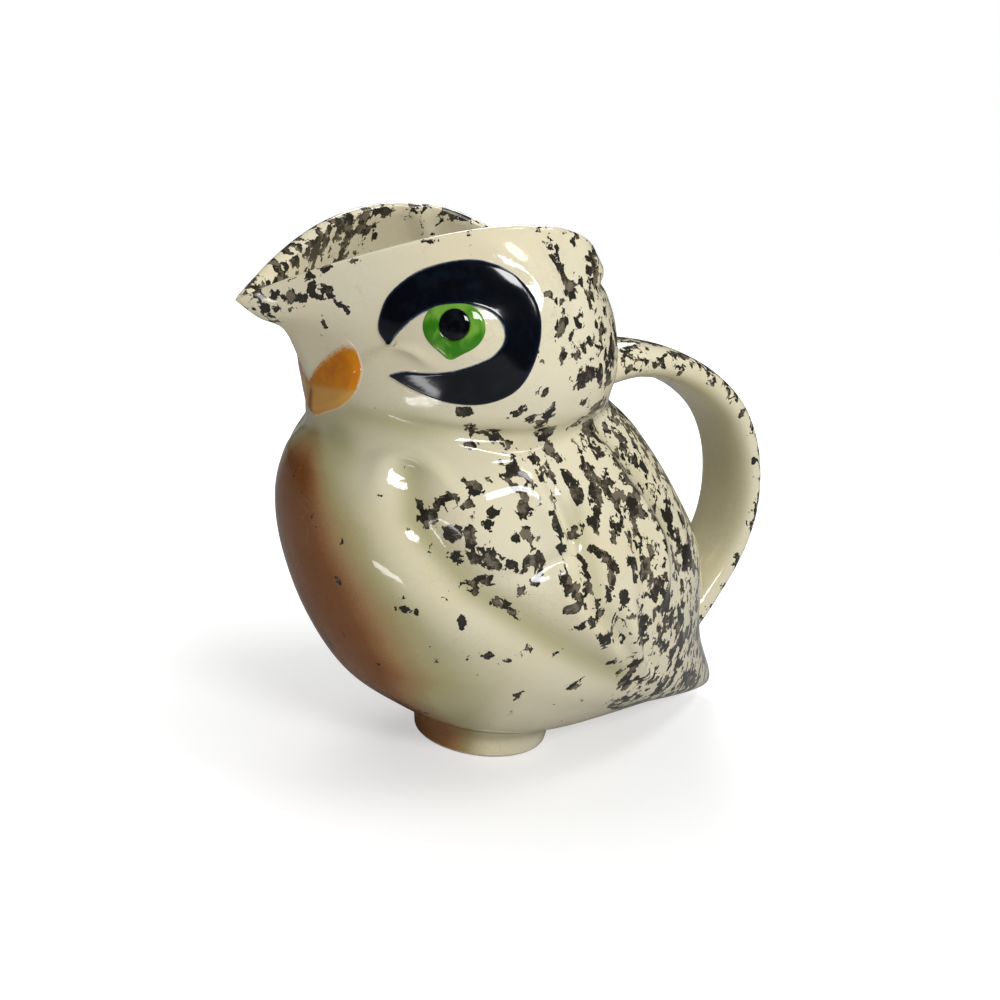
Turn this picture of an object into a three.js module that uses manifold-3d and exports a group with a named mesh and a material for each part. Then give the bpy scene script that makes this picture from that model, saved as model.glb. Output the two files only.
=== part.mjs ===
// A slip-cast pottery milk pitcher in the form of an owl.
// The owl faces -Y, its left side is +X, and its foot stands on Z = 0. All lengths are millimetres.
import * as THREE from 'three';
import { mergeVertices } from 'three/addons/utils/BufferGeometryUtils.js';
import Module from 'manifold-3d';

const wasm = await Module();
wasm.setup();

// Driving sizes of the cast body.
const height = 151;
const half_width = 50;
const breast_reach = 64;
const tail_reach = 95;
const head_lean = 28;
const wall = 3.6;
const lip_rise = 1.2;

// The turned foot that the body stands on.
const foot_height = 9;
const foot_radius = 18.7;
const foot_top_radius = 22.6;
const foot_recess_radius = 13.5;
const foot_recess_depth = 4;
const foot_edge = 0.8;

// The luted strap handle.
const handle_out = 88;
const handle_high = 116;
const strap_width = 24;
const strap_thickness = 10;

// Raised parts that are pressed on the body. The beak's middle lies on a ring of the head.
const seat_gap = 0.3;
const wing_thickness = 2.1;
const wing_edge = 0.5;
const wing_round = 6.5;
const beak_thickness = 1.6;
const beak_half_width = 18.9;
const beak_height = 22.5;
const beak_ring_share = 0.72;

// The painted eyes, in the plane that each eye faces. Their middle lies on a ring of the head.
const eye_ring_share = 0.846;
const eye_angle = THREE.MathUtils.degToRad(64);
const eye_turn = THREE.MathUtils.degToRad(57);
const eye_length_share = 0.2583;
const eye_height_share = 0.2318;
const eye_length = eye_length_share * height;
const eye_height = eye_height_share * height;
const eye_dome = 2.2;
const iris_half_length = 7.2;
const iris_half_height = 5.6;
const iris_lower = 0.6;
const iris_drip = 2.2;
const pupil_radius = 3.7;
const patch_thickness = 0.9;
const iris_thickness = 0.6;
const cut_overrun = 12;

// Outline of a wing seen from the side, and the mould's folds round it.
const wing_reach = 52;
const wing_top_share = 0.6424;
const wing_top = wing_top_share * height;
const fold_rise = 2;
const fold_width = 4;

// How finely the surfaces are divided. The turns of a ring crowd together at the sides, where the folds are.
const around_count = 60;
const crowding_share = 0.14;
const steps_per_ring = 4;
const inner_steps_per_ring = 2;
const lip_steps = 4;

// Outline of the body, ring by ring from the foot to the rim. Each row holds the heights at the front,
// side and back, the half width, the lean forward and the reach to the front and to the back, then how
// sharply the ring is pinched at the front (spout, face) and at the back (tail).
const ring_shares = [
  [0.0, 0.0, 0.0, 0.4, 0.0, 0.31, 0.21, 1.0, 1.0],
  [0.04, 0.03, -0.01, 0.6, 0.07, 0.49, 0.42, 1.0, 1.2],
  [0.11, 0.1, -0.02, 0.78, 0.07, 0.71, 0.74, 1.0, 1.9],
  [0.22, 0.175, -0.03, 0.92, 0.11, 0.87, 1.0, 1.0, 2.5],
  [0.345, 0.29, 0.13, 1.0, 0.14, 0.98, 0.885, 1.0, 2.0],
  [0.455, 0.405, 0.34, 0.98, 0.21, 1.0, 0.795, 1.0, 1.4],
  [0.54, 0.51, 0.5, 0.9, 0.32, 0.93, 0.63, 1.0, 1.0],
  [0.59, 0.59, 0.625, 0.8, 0.5, 0.78, 0.51, 1.0, 1.0],
  [0.63, 0.64, 0.685, 0.74, 0.71, 0.69, 0.45, 1.0, 1.0],
  [0.68, 0.695, 0.705, 0.84, 0.79, 0.67, 0.43, 1.2, 1.0],
  [0.75, 0.765, 0.76, 0.88, 0.86, 0.72, 0.46, 1.5, 1.0],
  [0.785, 0.855, 0.83, 0.84, 0.93, 0.76, 0.46, 1.6, 1.0],
  [0.8, 0.925, 0.88, 0.76, 0.96, 0.85, 0.43, 2.0, 1.0],
  [0.825, 1.0, 0.905, 0.66, 1.0, 0.93, 0.42, 2.4, 1.0],
];
// How far the inside of each ring is lifted over the outside, as shares of the wall: front, side, back.
const lift_shares = [
  [1, 1, 1], [1, 1, 1.3], [0.8, 0.9, 1.6], [0.4, 0.4, 2.2], [0.2, 0.1, 0.6], [0, 0, 0], [0, 0, 0],
  [0, 0, 0], [0, 0, 0], [0, 0, 0], [0, 0, 0], [0, 0, 0], [0, 0, 0], [0, 0, 0],
];
const front_round_share = 0.12;
const back_round_share = 0.3;
const pinch_wall_share = 0.55;

function catmull(rows, at) {
  const last = rows.length - 1;
  const cell = Math.min(Math.max(Math.floor(at), 0), last - 1);
  const t = at - cell;
  const b = rows[cell];
  const c = rows[cell + 1];
  const a = rows[cell - 1] ?? b.map((value, k) => 2 * value - c[k]);
  const d = rows[cell + 2] ?? c.map((value, k) => 2 * value - b[k]);
  return b.map((value, k) => value + (t / 2) * (c[k] - a[k]
    + t * (2 * a[k] - 5 * value + 4 * c[k] - d[k] + t * (3 * (value - c[k]) + d[k] - a[k]))));
}

function outerRows() {
  const rise = height - foot_height;
  const rows = ring_shares.map(([front, side, back, width, lean, reach, behind, pinch, tail_pinch]) => [
    foot_height + front * rise, foot_height + side * rise, foot_height + back * rise,
    width * half_width, -lean * head_lean, reach * breast_reach, behind * tail_reach, pinch, tail_pinch,
  ]);
  const around = foot_top_radius;
  rows[0] = [foot_height, foot_height, foot_height, around, 0, around, around, 1, 1];
  return rows;
}

function innerRows(rows) {
  return rows.map(([front, side, back, width, middle, reach, behind, pinch, tail_pinch], k) => [
    front + lift_shares[k][0] * wall, side + lift_shares[k][1] * wall, back + lift_shares[k][2] * wall,
    width - wall, middle, reach - wall * (1 + pinch_wall_share * (pinch - 1)),
    behind - wall * (1 + 2 * pinch_wall_share * (tail_pinch - 1)), pinch, tail_pinch,
  ]);
}

// A ring turned through a full angle: 0 at the owl's front, a quarter turn at its left side.
function ringPoint(rows, at, angle) {
  const [front, side, back, width, middle, reach, behind, pinch, tail_pinch] = catmull(rows, at);
  const forward = Math.cos(angle);
  const sideways = Math.abs(Math.sin(angle));
  const is_front = forward >= 0;
  const round = is_front ? front_round_share : back_round_share;
  const spread = (1 - round) * sideways ** (is_front ? pinch : tail_pinch) + round * sideways;
  const middle_height = ((front + back) / 2 + side) / 2;
  return new THREE.Vector3(
    Math.sign(Math.sin(angle)) * width * spread,
    middle - forward * (is_front ? reach : behind),
    middle_height + (forward * (front - back)) / 2
      + Math.cos(2 * angle) * ((front + back) / 2 - middle_height),
  );
}

const outer_rows = outerRows();
const inner_rows = innerRows(outer_rows);
const ring_last = outer_rows.length - 1;

function ringNormal(at, angle) {
  const nudge_share = 1e-3;
  const turn = ringPoint(outer_rows, at, angle + nudge_share);
  turn.sub(ringPoint(outer_rows, at, angle - nudge_share));
  const low = Math.max(at - nudge_share, 0);
  const high = Math.min(at + nudge_share, ring_last);
  const climb = ringPoint(outer_rows, high, angle).sub(ringPoint(outer_rows, low, angle));
  return turn.cross(climb).normalize();
}

const eye_middle = ringPoint(outer_rows, eye_ring_share * ring_last, eye_angle);
const eye_back = new THREE.Vector3(Math.cos(eye_turn), Math.sin(eye_turn), 0);
const eye_out = new THREE.Vector3(Math.sin(eye_turn), -Math.cos(eye_turn), 0);

// How far back from the foot's middle and how high the points of a wing's outline lie.
const wing_shares = [
  [-0.88, 0.95], [-0.98, 0.88], [-0.97, 0.79], [-0.82, 0.69], [-0.58, 0.59], [-0.23, 0.475],
  [0.15, 0.355], [0.5, 0.265], [0.78, 0.245], [0.66, 0.34], [0.5, 0.44], [0.38, 0.56], [0.33, 0.7],
  [0.25, 0.83], [0.08, 0.94], [-0.27, 0.995], [-0.65, 1.0],
];
const outline_points_per_span = 2;

function closedDots(points) {
  const curve = new THREE.CatmullRomCurve3(
    points.map(([x, y]) => new THREE.Vector3(x, y, 0)), true, 'centripetal',
  );
  const dots = curve.getPoints(points.length * outline_points_per_span).slice(0, -1);
  return dots.map((dot) => new THREE.Vector2(dot.x, dot.y));
}

const wing_dots = closedDots(wing_shares.map(([back, high]) => [back * wing_reach, high * wing_top]));

// The folds of the mould, seen from the side. A row is a point of a fold's line: how far back and how
// high it lies, how high the fold stands there, below 0 for a groove, and half the fold's width.
const fold_shares = {
  breast_arch: [
    [-1.15, 0.81, 0, 0.75], [-1.08, 0.92, 0.75, 0.62], [-1.0, 0.963, 0.85, 0.6], [-0.885, 0.942, 0.8, 0.6],
    [-0.78, 0.88, 0.1, 0.6],
  ],
  breast_edge: [
    [-1.17, 0.765, 0.15, 1.5], [-1.08, 0.67, 0.4, 1.6], [-0.9, 0.58, 0.5, 1.6], [-0.65, 0.5, 0.4, 1.5],
    [-0.385, 0.42, 0.25, 1.25], [-0.115, 0.36, 0, 1.25],
  ],
  valley: [
    [-0.97, 0.935, -0.4, 0.65], [-0.975, 0.885, -1, 0.9], [-0.97, 0.815, -1.15, 1.1],
    [-0.91, 0.77, -1.2, 1.2], [-0.815, 0.71, -1.15, 1.25], [-0.7, 0.645, -1, 1.2],
    [-0.475, 0.575, -0.8, 1.1], [-0.11, 0.46, -0.55, 0.9], [0.27, 0.36, 0, 0.75],
  ],
  shoulder: [
    [-0.67, 0.91, 0.45, 1.4], [-0.52, 0.935, 0.75, 1.4], [-0.415, 0.9, 0.75, 1.25],
    [-0.325, 0.795, 0.6, 0.85],
  ],
  shoulder_back: [
    [-0.365, 0.96, -0.1, 0.5], [-0.335, 0.895, -0.75, 0.5], [-0.28, 0.835, -1, 0.48],
    [-0.235, 0.785, -1, 0.48], [-0.22, 0.75, -0.3, 0.45],
  ],
  shoulder_foot: [
    [-0.275, 0.737, -0.6, 0.5], [-0.365, 0.725, -0.8, 0.6], [-0.5, 0.697, -0.65, 0.7],
    [-0.67, 0.69, -0.25, 0.75],
  ],
  feather_hollow: [[-0.23, 0.91, -0.2, 1.1], [-0.177, 0.835, -0.6, 1.2], [-0.145, 0.765, -0.4, 1.1]],
  feather: [
    [-0.29, 0.71, 0.4, 0.75], [-0.27, 0.65, 0.55, 0.8], [-0.163, 0.58, 0.55, 0.8],
    [-0.02, 0.515, 0.45, 0.8], [0.115, 0.45, 0.15, 0.75],
  ],
  feather_back: [
    [-0.135, 0.69, -0.2, 0.88], [-0.06, 0.6, -0.4, 0.82], [0.067, 0.53, -0.45, 0.75],
    [0.17, 0.465, -0.15, 0.75],
  ],
  wing_back: [
    [0.02, 1.015, 0.25, 0.75], [0.11, 0.97, 0.65, 0.8], [0.21, 0.895, 0.85, 0.85],
    [0.4, 0.77, 0.9, 0.85], [0.445, 0.69, 0.8, 0.8], [0.455, 0.615, 0.6, 0.75], [0.425, 0.535, 0.15, 0.75],
  ],
  back_valley: [
    [0.04, 1.06, -0.25, 0.8], [0.125, 1.02, -0.65, 0.85], [0.225, 0.955, -0.8, 0.95],
    [0.395, 0.87, -0.85, 1.05], [0.575, 0.765, -0.8, 1.15], [0.665, 0.665, -0.55, 1.2],
    [0.69, 0.545, -0.05, 1.2],
  ],
  tail_groove_front: [
    [0.045, 0.59, -0.15, 0.5], [0.1, 0.54, -0.65, 0.52], [0.155, 0.49, -0.75, 0.52],
    [0.26, 0.42, -0.55, 0.52], [0.385, 0.36, 0, 0.5],
  ],
  tail_ridge: [
    [0.155, 0.59, 0.1, 0.6], [0.21, 0.515, 0.5, 0.62], [0.3, 0.45, 0.5, 0.62], [0.44, 0.375, 0.05, 0.62],
  ],
  tail_groove_back: [
    [0.23, 0.59, -0.1, 0.52], [0.315, 0.48, -0.65, 0.55], [0.445, 0.385, -0.5, 0.55], [0.6, 0.31, 0, 0.55],
  ],
  neck_groove: [
    [-1.1, 1.07, -0.1, 0.6], [-0.98, 1.05, -0.45, 0.55], [-0.855, 1.042, -0.65, 0.52],
    [-0.71, 1.038, -0.7, 0.52], [-0.577, 1.035, -0.65, 0.55], [-0.317, 1.043, -0.5, 0.6],
    [-0.135, 1.06, -0.35, 0.65], [0.02, 1.077, -0.1, 0.65],
  ],
  neck_roll: [
    [-1.04, 1.018, 0.1, 0.5], [-0.855, 1.005, 0.4, 0.5], [-0.71, 1.0, 0.45, 0.5],
    [-0.577, 0.995, 0.4, 0.5], [-0.317, 1.0, 0.3, 0.55], [-0.135, 1.02, 0.15, 0.6],
  ],
};
const fold_dots_per_row = 5;
const folds = Object.values(fold_shares).map((rows) => {
  const dot_count = rows.length * fold_dots_per_row;
  return Array.from({ length: dot_count }, (_, k) => {
    const [back, high, rise, half] = catmull(rows, (k * (rows.length - 1)) / (dot_count - 1));
    const place = new THREE.Vector2(back * wing_reach, high * wing_top);
    return { place, rise: rise * fold_rise, half: half * fold_width };
  });
});

// The nearest stretch of a line of dots to a place in the same plane: how far off it is and how far along.
function nearestStretch(dots, place, is_closed) {
  let best = { gap: Infinity };
  const last = is_closed ? dots.length : dots.length - 1;
  for (let k = 0; k < last; k += 1) {
    const start = dots[k];
    const end = dots[(k + 1) % dots.length];
    const [across, up] = [end.x - start.x, end.y - start.y];
    const way = ((place.x - start.x) * across + (place.y - start.y) * up) / (across ** 2 + up ** 2);
    const along = Math.min(Math.max(way, 0), 1);
    const gap = Math.hypot(start.x + along * across - place.x, start.y + along * up - place.y);
    if (gap < best.gap) best = { gap, k, along };
  }
  return best;
}

const fold_lines = folds.map((dots) => dots.map((dot) => dot.place));

// How far the folds stand out of the plain body at a point: a bell curve across each fold's line.
function foldRise(point) {
  const place = new THREE.Vector2(point.y, point.z);
  return folds.reduce((sum, dots, fold) => {
    const { gap, k, along } = nearestStretch(fold_lines[fold], place, false);
    const rise = THREE.MathUtils.lerp(dots[k].rise, dots[k + 1].rise, along);
    const half = THREE.MathUtils.lerp(dots[k].half, dots[k + 1].half, along);
    return sum + rise * Math.exp(-((gap / half) ** 2));
  }, 0);
}

// A wing stands out like a pillow: thin at its edge, full some way in.
function wingRise(point) {
  const { gap } = nearestStretch(wing_dots, new THREE.Vector2(point.y, point.z), true);
  return wing_edge + (wing_thickness - wing_edge) * (1 - Math.exp(-((gap / wing_round) ** 2))) ** 2;
}

// How far the eyeball swells out of the head at a point, the same on both sides.
function domeRise(point) {
  const from_middle = new THREE.Vector3(Math.abs(point.x), point.y, point.z).sub(eye_middle);
  const spread = Math.hypot(from_middle.dot(eye_back) / (eye_length / 2), from_middle.z / (eye_height / 2));
  return spread < 1 ? eye_dome * Math.cos((spread * Math.PI) / 2) ** 2 : 0;
}

// The outside of the body, or a surface that lies outside it as far as a function of the point says.
function outerPoint(at, angle, liftAt) {
  const point = ringPoint(outer_rows, at, angle);
  return point.addScaledVector(ringNormal(at, angle), domeRise(point) + foldRise(point) + liftAt(point));
}

// The inside of the body, which follows the grooves so that the wall stays even.
function innerPoint(at, angle) {
  const groove = Math.min(foldRise(ringPoint(outer_rows, at, angle)), 0);
  return ringPoint(inner_rows, at, angle).addScaledVector(ringNormal(at, angle), groove);
}

function evenly(distance) {
  return () => distance;
}

function ringOf(pointAt) {
  return Array.from({ length: around_count }, (_, k) => {
    const turn = (2 * Math.PI * k) / around_count;
    return pointAt(turn + crowding_share * Math.sin(2 * turn));
  });
}

// A closed skin over rings of equal length, each end closed on its middle. Rings run from the start
// end to the finish end, and turn so that the skin faces outward. The first half of the turn and the
// second are cut into triangles as mirror images, so that the two sides of the owl match.
function skin(rings) {
  const count = rings[0].length;
  const positions = rings.flat().flatMap((point) => point.toArray());
  const index = [];
  rings.slice(1).forEach((_, row) => {
    for (let k = 0; k < count; k += 1) {
      const a = row * count + k;
      const b = row * count + ((k + 1) % count);
      if (k < count / 2) index.push(a, b, b + count, a, b + count, a + count);
      else index.push(a, b, a + count, b, b + count, a + count);
    }
  });
  [0, rings.length - 1].forEach((row) => {
    const middle = rings[row].reduce((sum, point) => sum.add(point), new THREE.Vector3()).divideScalar(count);
    const hub = positions.length / 3;
    positions.push(...middle.toArray());
    for (let k = 0; k < count; k += 1) {
      const a = row * count + k;
      const b = row * count + ((k + 1) % count);
      index.push(...(row === 0 ? [hub, b, a] : [hub, a, b]));
    }
  });
  const geometry = new THREE.BufferGeometry();
  geometry.setAttribute('position', new THREE.Float32BufferAttribute(positions, 3));
  geometry.setIndex(index);
  return geometry;
}

function solid(geometry) {
  const bare = geometry.clone();
  bare.deleteAttribute('normal');
  bare.deleteAttribute('uv');
  const merged = mergeVertices(bare);
  return new wasm.Manifold(new wasm.Mesh({
    numProp: 3,
    vertProperties: new Float32Array(merged.attributes.position.array),
    triVerts: new Uint32Array(merged.index.array),
  }));
}

function geometryOf(manifold) {
  const mesh = manifold.getMesh();
  const geometry = new THREE.BufferGeometry();
  geometry.setAttribute('position', new THREE.Float32BufferAttribute(mesh.vertProperties, 3));
  geometry.setIndex(new THREE.Uint32BufferAttribute(mesh.triVerts, 1));
  return geometry;
}

function mirrored(geometry) {
  const copy = geometry.clone();
  copy.scale(-1, 1, 1);
  const index = copy.index.array;
  for (let k = 0; k < index.length; k += 3) {
    [index[k], index[k + 1]] = [index[k + 1], index[k]];
  }
  return copy;
}

// The body as one full solid, grown outward. Raised parts are cut against it.
function grownBody(liftAt) {
  const rings = [];
  for (let k = 0; k <= ring_last * steps_per_ring; k += 1) {
    rings.push(ringOf((angle) => outerPoint(k / steps_per_ring, angle, liftAt)));
  }
  return solid(skin(rings));
}

function bodyShell() {
  const bare = evenly(0);
  const rings = [ringOf((angle) => ringPoint(outer_rows, 0, angle))];
  for (let k = 1; k <= ring_last * steps_per_ring; k += 1) {
    rings.push(ringOf((angle) => outerPoint(k / steps_per_ring, angle, bare)));
  }
  for (let k = 1; k < lip_steps; k += 1) {
    const across = k / lip_steps;
    rings.push(ringOf((angle) => {
      const outside = outerPoint(ring_last, angle, bare);
      const inside = innerPoint(ring_last, angle);
      const point = outside.lerp(inside, across);
      point.z += lip_rise * Math.sin(Math.PI * across);
      return point;
    }));
  }
  for (let k = ring_last * inner_steps_per_ring; k >= 0; k -= 1) {
    rings.push(ringOf((angle) => innerPoint(k / inner_steps_per_ring, angle)));
  }
  return skin(rings);
}

// Outline of the foot's outside above its edge: how far out from its radius to the top radius, how high.
const foot_flare_shares = [[0.02, 0.25], [0.16, 0.5], [0.42, 0.74]];

function footRing() {
  const flare = foot_top_radius - foot_radius;
  const profile = [
    [0, foot_recess_depth],
    [foot_recess_radius - foot_edge, foot_recess_depth],
    [foot_recess_radius, foot_edge],
    [foot_recess_radius + foot_edge, 0],
    [foot_radius - foot_edge, 0],
    [foot_radius, foot_edge],
    ...foot_flare_shares.map(([out, high]) => [foot_radius + out * flare, high * foot_height]),
    [foot_top_radius - seat_gap, foot_height],
    [0, foot_height],
  ];
  const geometry = new THREE.LatheGeometry(profile.map(([x, y]) => new THREE.Vector2(x, y)), around_count);
  geometry.rotateX(Math.PI / 2);
  return geometryOf(solid(geometry));
}

// Middle line of the strap in the owl's middle plane: how far back and how high, then how much wider
// and thicker the strap is there. Both ends run into the body, which cuts them off.
const strap_shares = [
  [0.04, 0.93, 1.45, 1.4],
  [0.17, 0.968, 1.3, 1.3],
  [0.3, 0.99, 1.12, 1.15],
  [0.42, 0.998, 1, 1.05],
  [0.56, 0.985, 1, 1],
  [0.725, 0.937, 1, 1],
  [0.865, 0.858, 1, 1],
  [0.96, 0.74, 1, 1],
  [0.995, 0.597, 1, 1],
  [0.96, 0.468, 1, 1],
  [0.85, 0.34, 1.08, 1.15],
  [0.72, 0.24, 1.25, 1.35],
  [0.6, 0.19, 1.4, 1.45],
];
const strap_steps_per_span = 3;
const strap_around_count = 20;
const strap_square_share = 0.78;

function strapHandle(seat) {
  const rings = [];
  const last = strap_shares.length - 1;
  for (let k = 0; k <= last * strap_steps_per_span; k += 1) {
    const at = k / strap_steps_per_span;
    const [back, high, wide, thick] = catmull(strap_shares, at);
    const [back_next, high_next] = catmull(strap_shares, at + 1 / strap_steps_per_span);
    const run = new THREE.Vector3(0, (back_next - back) * handle_out, (high_next - high) * handle_high);
    run.normalize();
    const outward = new THREE.Vector3(1, 0, 0).cross(run);
    rings.push(Array.from({ length: strap_around_count }, (_, step) => {
      const angle = (2 * Math.PI * step) / strap_around_count;
      const squared = (value) => Math.sign(value) * Math.abs(value) ** strap_square_share;
      const point = new THREE.Vector3(0, back * handle_out, high * handle_high);
      point.x -= (squared(Math.cos(angle)) * wide * strap_width) / 2;
      return point.addScaledVector(outward, (squared(Math.sin(angle)) * thick * strap_thickness) / 2);
    }));
  }
  return geometryOf(solid(skin(rings)).subtract(seat));
}

// The flat views that the outlines of laid-on parts are drawn in.
const side_view = {
  across: new THREE.Vector3(0, 1, 0),
  outward: new THREE.Vector3(1, 0, 0),
  from: new THREE.Vector3(),
  depth: half_width + cut_overrun,
};
const front_view = {
  across: new THREE.Vector3(1, 0, 0),
  outward: new THREE.Vector3(0, -1, 0),
  from: new THREE.Vector3(),
  depth: breast_reach + head_lean + cut_overrun,
};
const eye_view = {
  across: eye_back,
  outward: eye_out,
  from: eye_middle.clone().addScaledVector(eye_out, -cut_overrun),
  depth: half_width,
};
const arc_segments = 20;

// A part that lies on the body: an outline in a flat view, cut from the skin between two grown bodies.
function laidOn(outline, view, below, above) {
  const prism = new THREE.ExtrudeGeometry(outline, {
    depth: view.depth, bevelEnabled: false, curveSegments: arc_segments,
  });
  prism.applyMatrix4(new THREE.Matrix4().makeBasis(view.across, new THREE.Vector3(0, 0, 1), view.outward));
  prism.translate(...view.from.toArray());
  return geometryOf(solid(prism).intersect(above).subtract(below));
}

// Right half of the beak seen from the front, from its tip up round one cheek to the notch under the
// bridge: how wide and how high from its middle.
const beak_shares = [
  [0.05, -1], [0.25, -0.87], [0.56, -0.61], [0.79, -0.25], [0.93, 0.1], [1, 0.45], [0.97, 0.85],
  [0.86, 0.98], [0.6, 0.68], [0.38, 0.41], [0.18, 0.12],
];
const beak_notch_share = -0.1;

function beakShape() {
  const beak_middle = ringPoint(outer_rows, beak_ring_share * ring_last, 0).z;
  const place = ([wide, up]) => [wide * beak_half_width, beak_middle + (up * beak_height) / 2];
  const other_side = beak_shares.map(([wide, up]) => [-wide, up]).reverse();
  const outline = [...beak_shares, [0, beak_notch_share], ...other_side];
  return new THREE.Shape(closedDots(outline.map(place)));
}

// Outlines of the painted patch round the eye, in shares of the eye's length and height.
const patch_shares = [
  [-0.4, -0.19], [-0.46, -0.1], [-0.45, 0.05], [-0.4, 0.17], [-0.27, 0.31], [-0.1, 0.4], [0.1, 0.44],
  [0.3, 0.38], [0.46, 0.23], [0.53, 0.02], [0.51, -0.22], [0.42, -0.41], [0.24, -0.52], [0.02, -0.54],
  [-0.19, -0.49], [-0.36, -0.42], [-0.3, -0.36], [-0.14, -0.345], [0.03, -0.3], [0.2, -0.21],
  [0.29, -0.08], [0.27, 0.06], [0.17, 0.14], [0.02, 0.175], [-0.14, 0.13], [-0.25, 0.02], [-0.32, -0.12],
];
const iris_point_count = 20;
const iris_drip_power = 20;

function patchShape() {
  const outline = patch_shares.map(([along, up]) => [along * eye_length, up * eye_height]);
  return new THREE.Shape(closedDots(outline));
}

function irisShape() {
  const dots = Array.from({ length: iris_point_count }, (_, k) => {
    const angle = (2 * Math.PI * k) / iris_point_count;
    const drip = iris_drip * Math.max(-Math.sin(angle), 0) ** iris_drip_power;
    return new THREE.Vector2(
      iris_half_length * Math.cos(angle), iris_half_height * Math.sin(angle) - drip - iris_lower,
    );
  });
  const shape = new THREE.Shape(dots);
  shape.holes.push(new THREE.Path().absarc(0, 0, pupil_radius + seat_gap, 0, 2 * Math.PI, true));
  return shape;
}

function pupilShape() {
  return new THREE.Shape().absarc(0, 0, pupil_radius, 0, 2 * Math.PI, false);
}

const glaze = { metalness: 0, roughness: 0.14 };
const finishes = {
  cream: new THREE.MeshStandardMaterial({ color: 0xe9e1c4, ...glaze }),
  sponged: new THREE.MeshStandardMaterial({ color: 0xa8a08c, ...glaze }),
  foot: new THREE.MeshStandardMaterial({ color: 0xc9a071, ...glaze }),
  orange: new THREE.MeshStandardMaterial({ color: 0xb4641a, ...glaze }),
  black: new THREE.MeshStandardMaterial({ color: 0x0a0d16, ...glaze }),
  green: new THREE.MeshStandardMaterial({ color: 0x58a52c, ...glaze }),
};

const pitcher = new THREE.Group();

function addPiece(name, geometry, finish) {
  const mesh = new THREE.Mesh(geometry, finish.clone());
  mesh.name = name;
  mesh.geometry.computeVertexNormals();
  pitcher.add(mesh);
}

function addPair(name, geometry, finish) {
  addPiece(`left_${name}`, geometry, finish);
  addPiece(`right_${name}`, mirrored(geometry), finish);
}

const seat = grownBody(evenly(seat_gap));
const beak_skin = grownBody(evenly(seat_gap + beak_thickness));
const wing_skin = grownBody((point) => seat_gap + wingRise(point));
const patch_skin = grownBody(evenly(seat_gap + patch_thickness));
const iris_skin = grownBody(evenly(seat_gap + iris_thickness));

addPiece('body_shell', bodyShell(), finishes.cream);
addPiece('foot_ring', footRing(), finishes.foot);
addPiece('handle', strapHandle(seat), finishes.cream);
addPiece('beak', laidOn(beakShape(), front_view, seat, beak_skin), finishes.orange);
addPair('wing', laidOn(new THREE.Shape(wing_dots), side_view, seat, wing_skin), finishes.sponged);
addPair('eye_patch', laidOn(patchShape(), eye_view, seat, patch_skin), finishes.black);
addPair('iris', laidOn(irisShape(), eye_view, seat, iris_skin), finishes.green);
addPair('pupil', laidOn(pupilShape(), eye_view, seat, iris_skin), finishes.black);

// The origin lies on the table under the middle of the whole pitcher's bounding box.
const extent = new THREE.Box3().setFromObject(pitcher);
pitcher.position.set(0, -(extent.min.y + extent.max.y) / 2, 0);

export default pitcher;
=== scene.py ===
import math

import bpy
import numpy as np
from mathutils import Matrix


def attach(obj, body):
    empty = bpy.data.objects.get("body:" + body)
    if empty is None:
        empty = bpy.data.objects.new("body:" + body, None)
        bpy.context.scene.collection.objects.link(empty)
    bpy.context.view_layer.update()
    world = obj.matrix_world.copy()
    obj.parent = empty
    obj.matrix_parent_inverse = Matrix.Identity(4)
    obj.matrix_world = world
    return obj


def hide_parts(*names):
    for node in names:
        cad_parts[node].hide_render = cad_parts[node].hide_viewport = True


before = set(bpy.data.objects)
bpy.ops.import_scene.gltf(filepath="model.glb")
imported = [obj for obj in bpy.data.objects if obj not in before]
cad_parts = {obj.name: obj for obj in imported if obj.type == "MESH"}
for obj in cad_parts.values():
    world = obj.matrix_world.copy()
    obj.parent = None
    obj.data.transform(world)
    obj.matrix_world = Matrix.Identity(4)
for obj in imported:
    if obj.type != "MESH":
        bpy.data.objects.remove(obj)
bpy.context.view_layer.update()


# The cast body: slip poured in a mould, so one even wall of cream earthenware makes the breast, the
# back, the tail, the head and the open rim with its spout. Its soft relief comes from the same mould.
# Every length is in millimetres, in the potter's own frame, and goes to metres when a mesh is made.
METRES = 0.001
FOOT_OFFSET_Y = -2.515
body_rise = 142.0
foot_height = 9.0
foot_top_radius = 22.6
half_width = 50.0
breast_reach = 64.0
tail_reach = 95.0
head_lean = 28.0
wall = 3.6
lip_rise = 1.2

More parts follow.
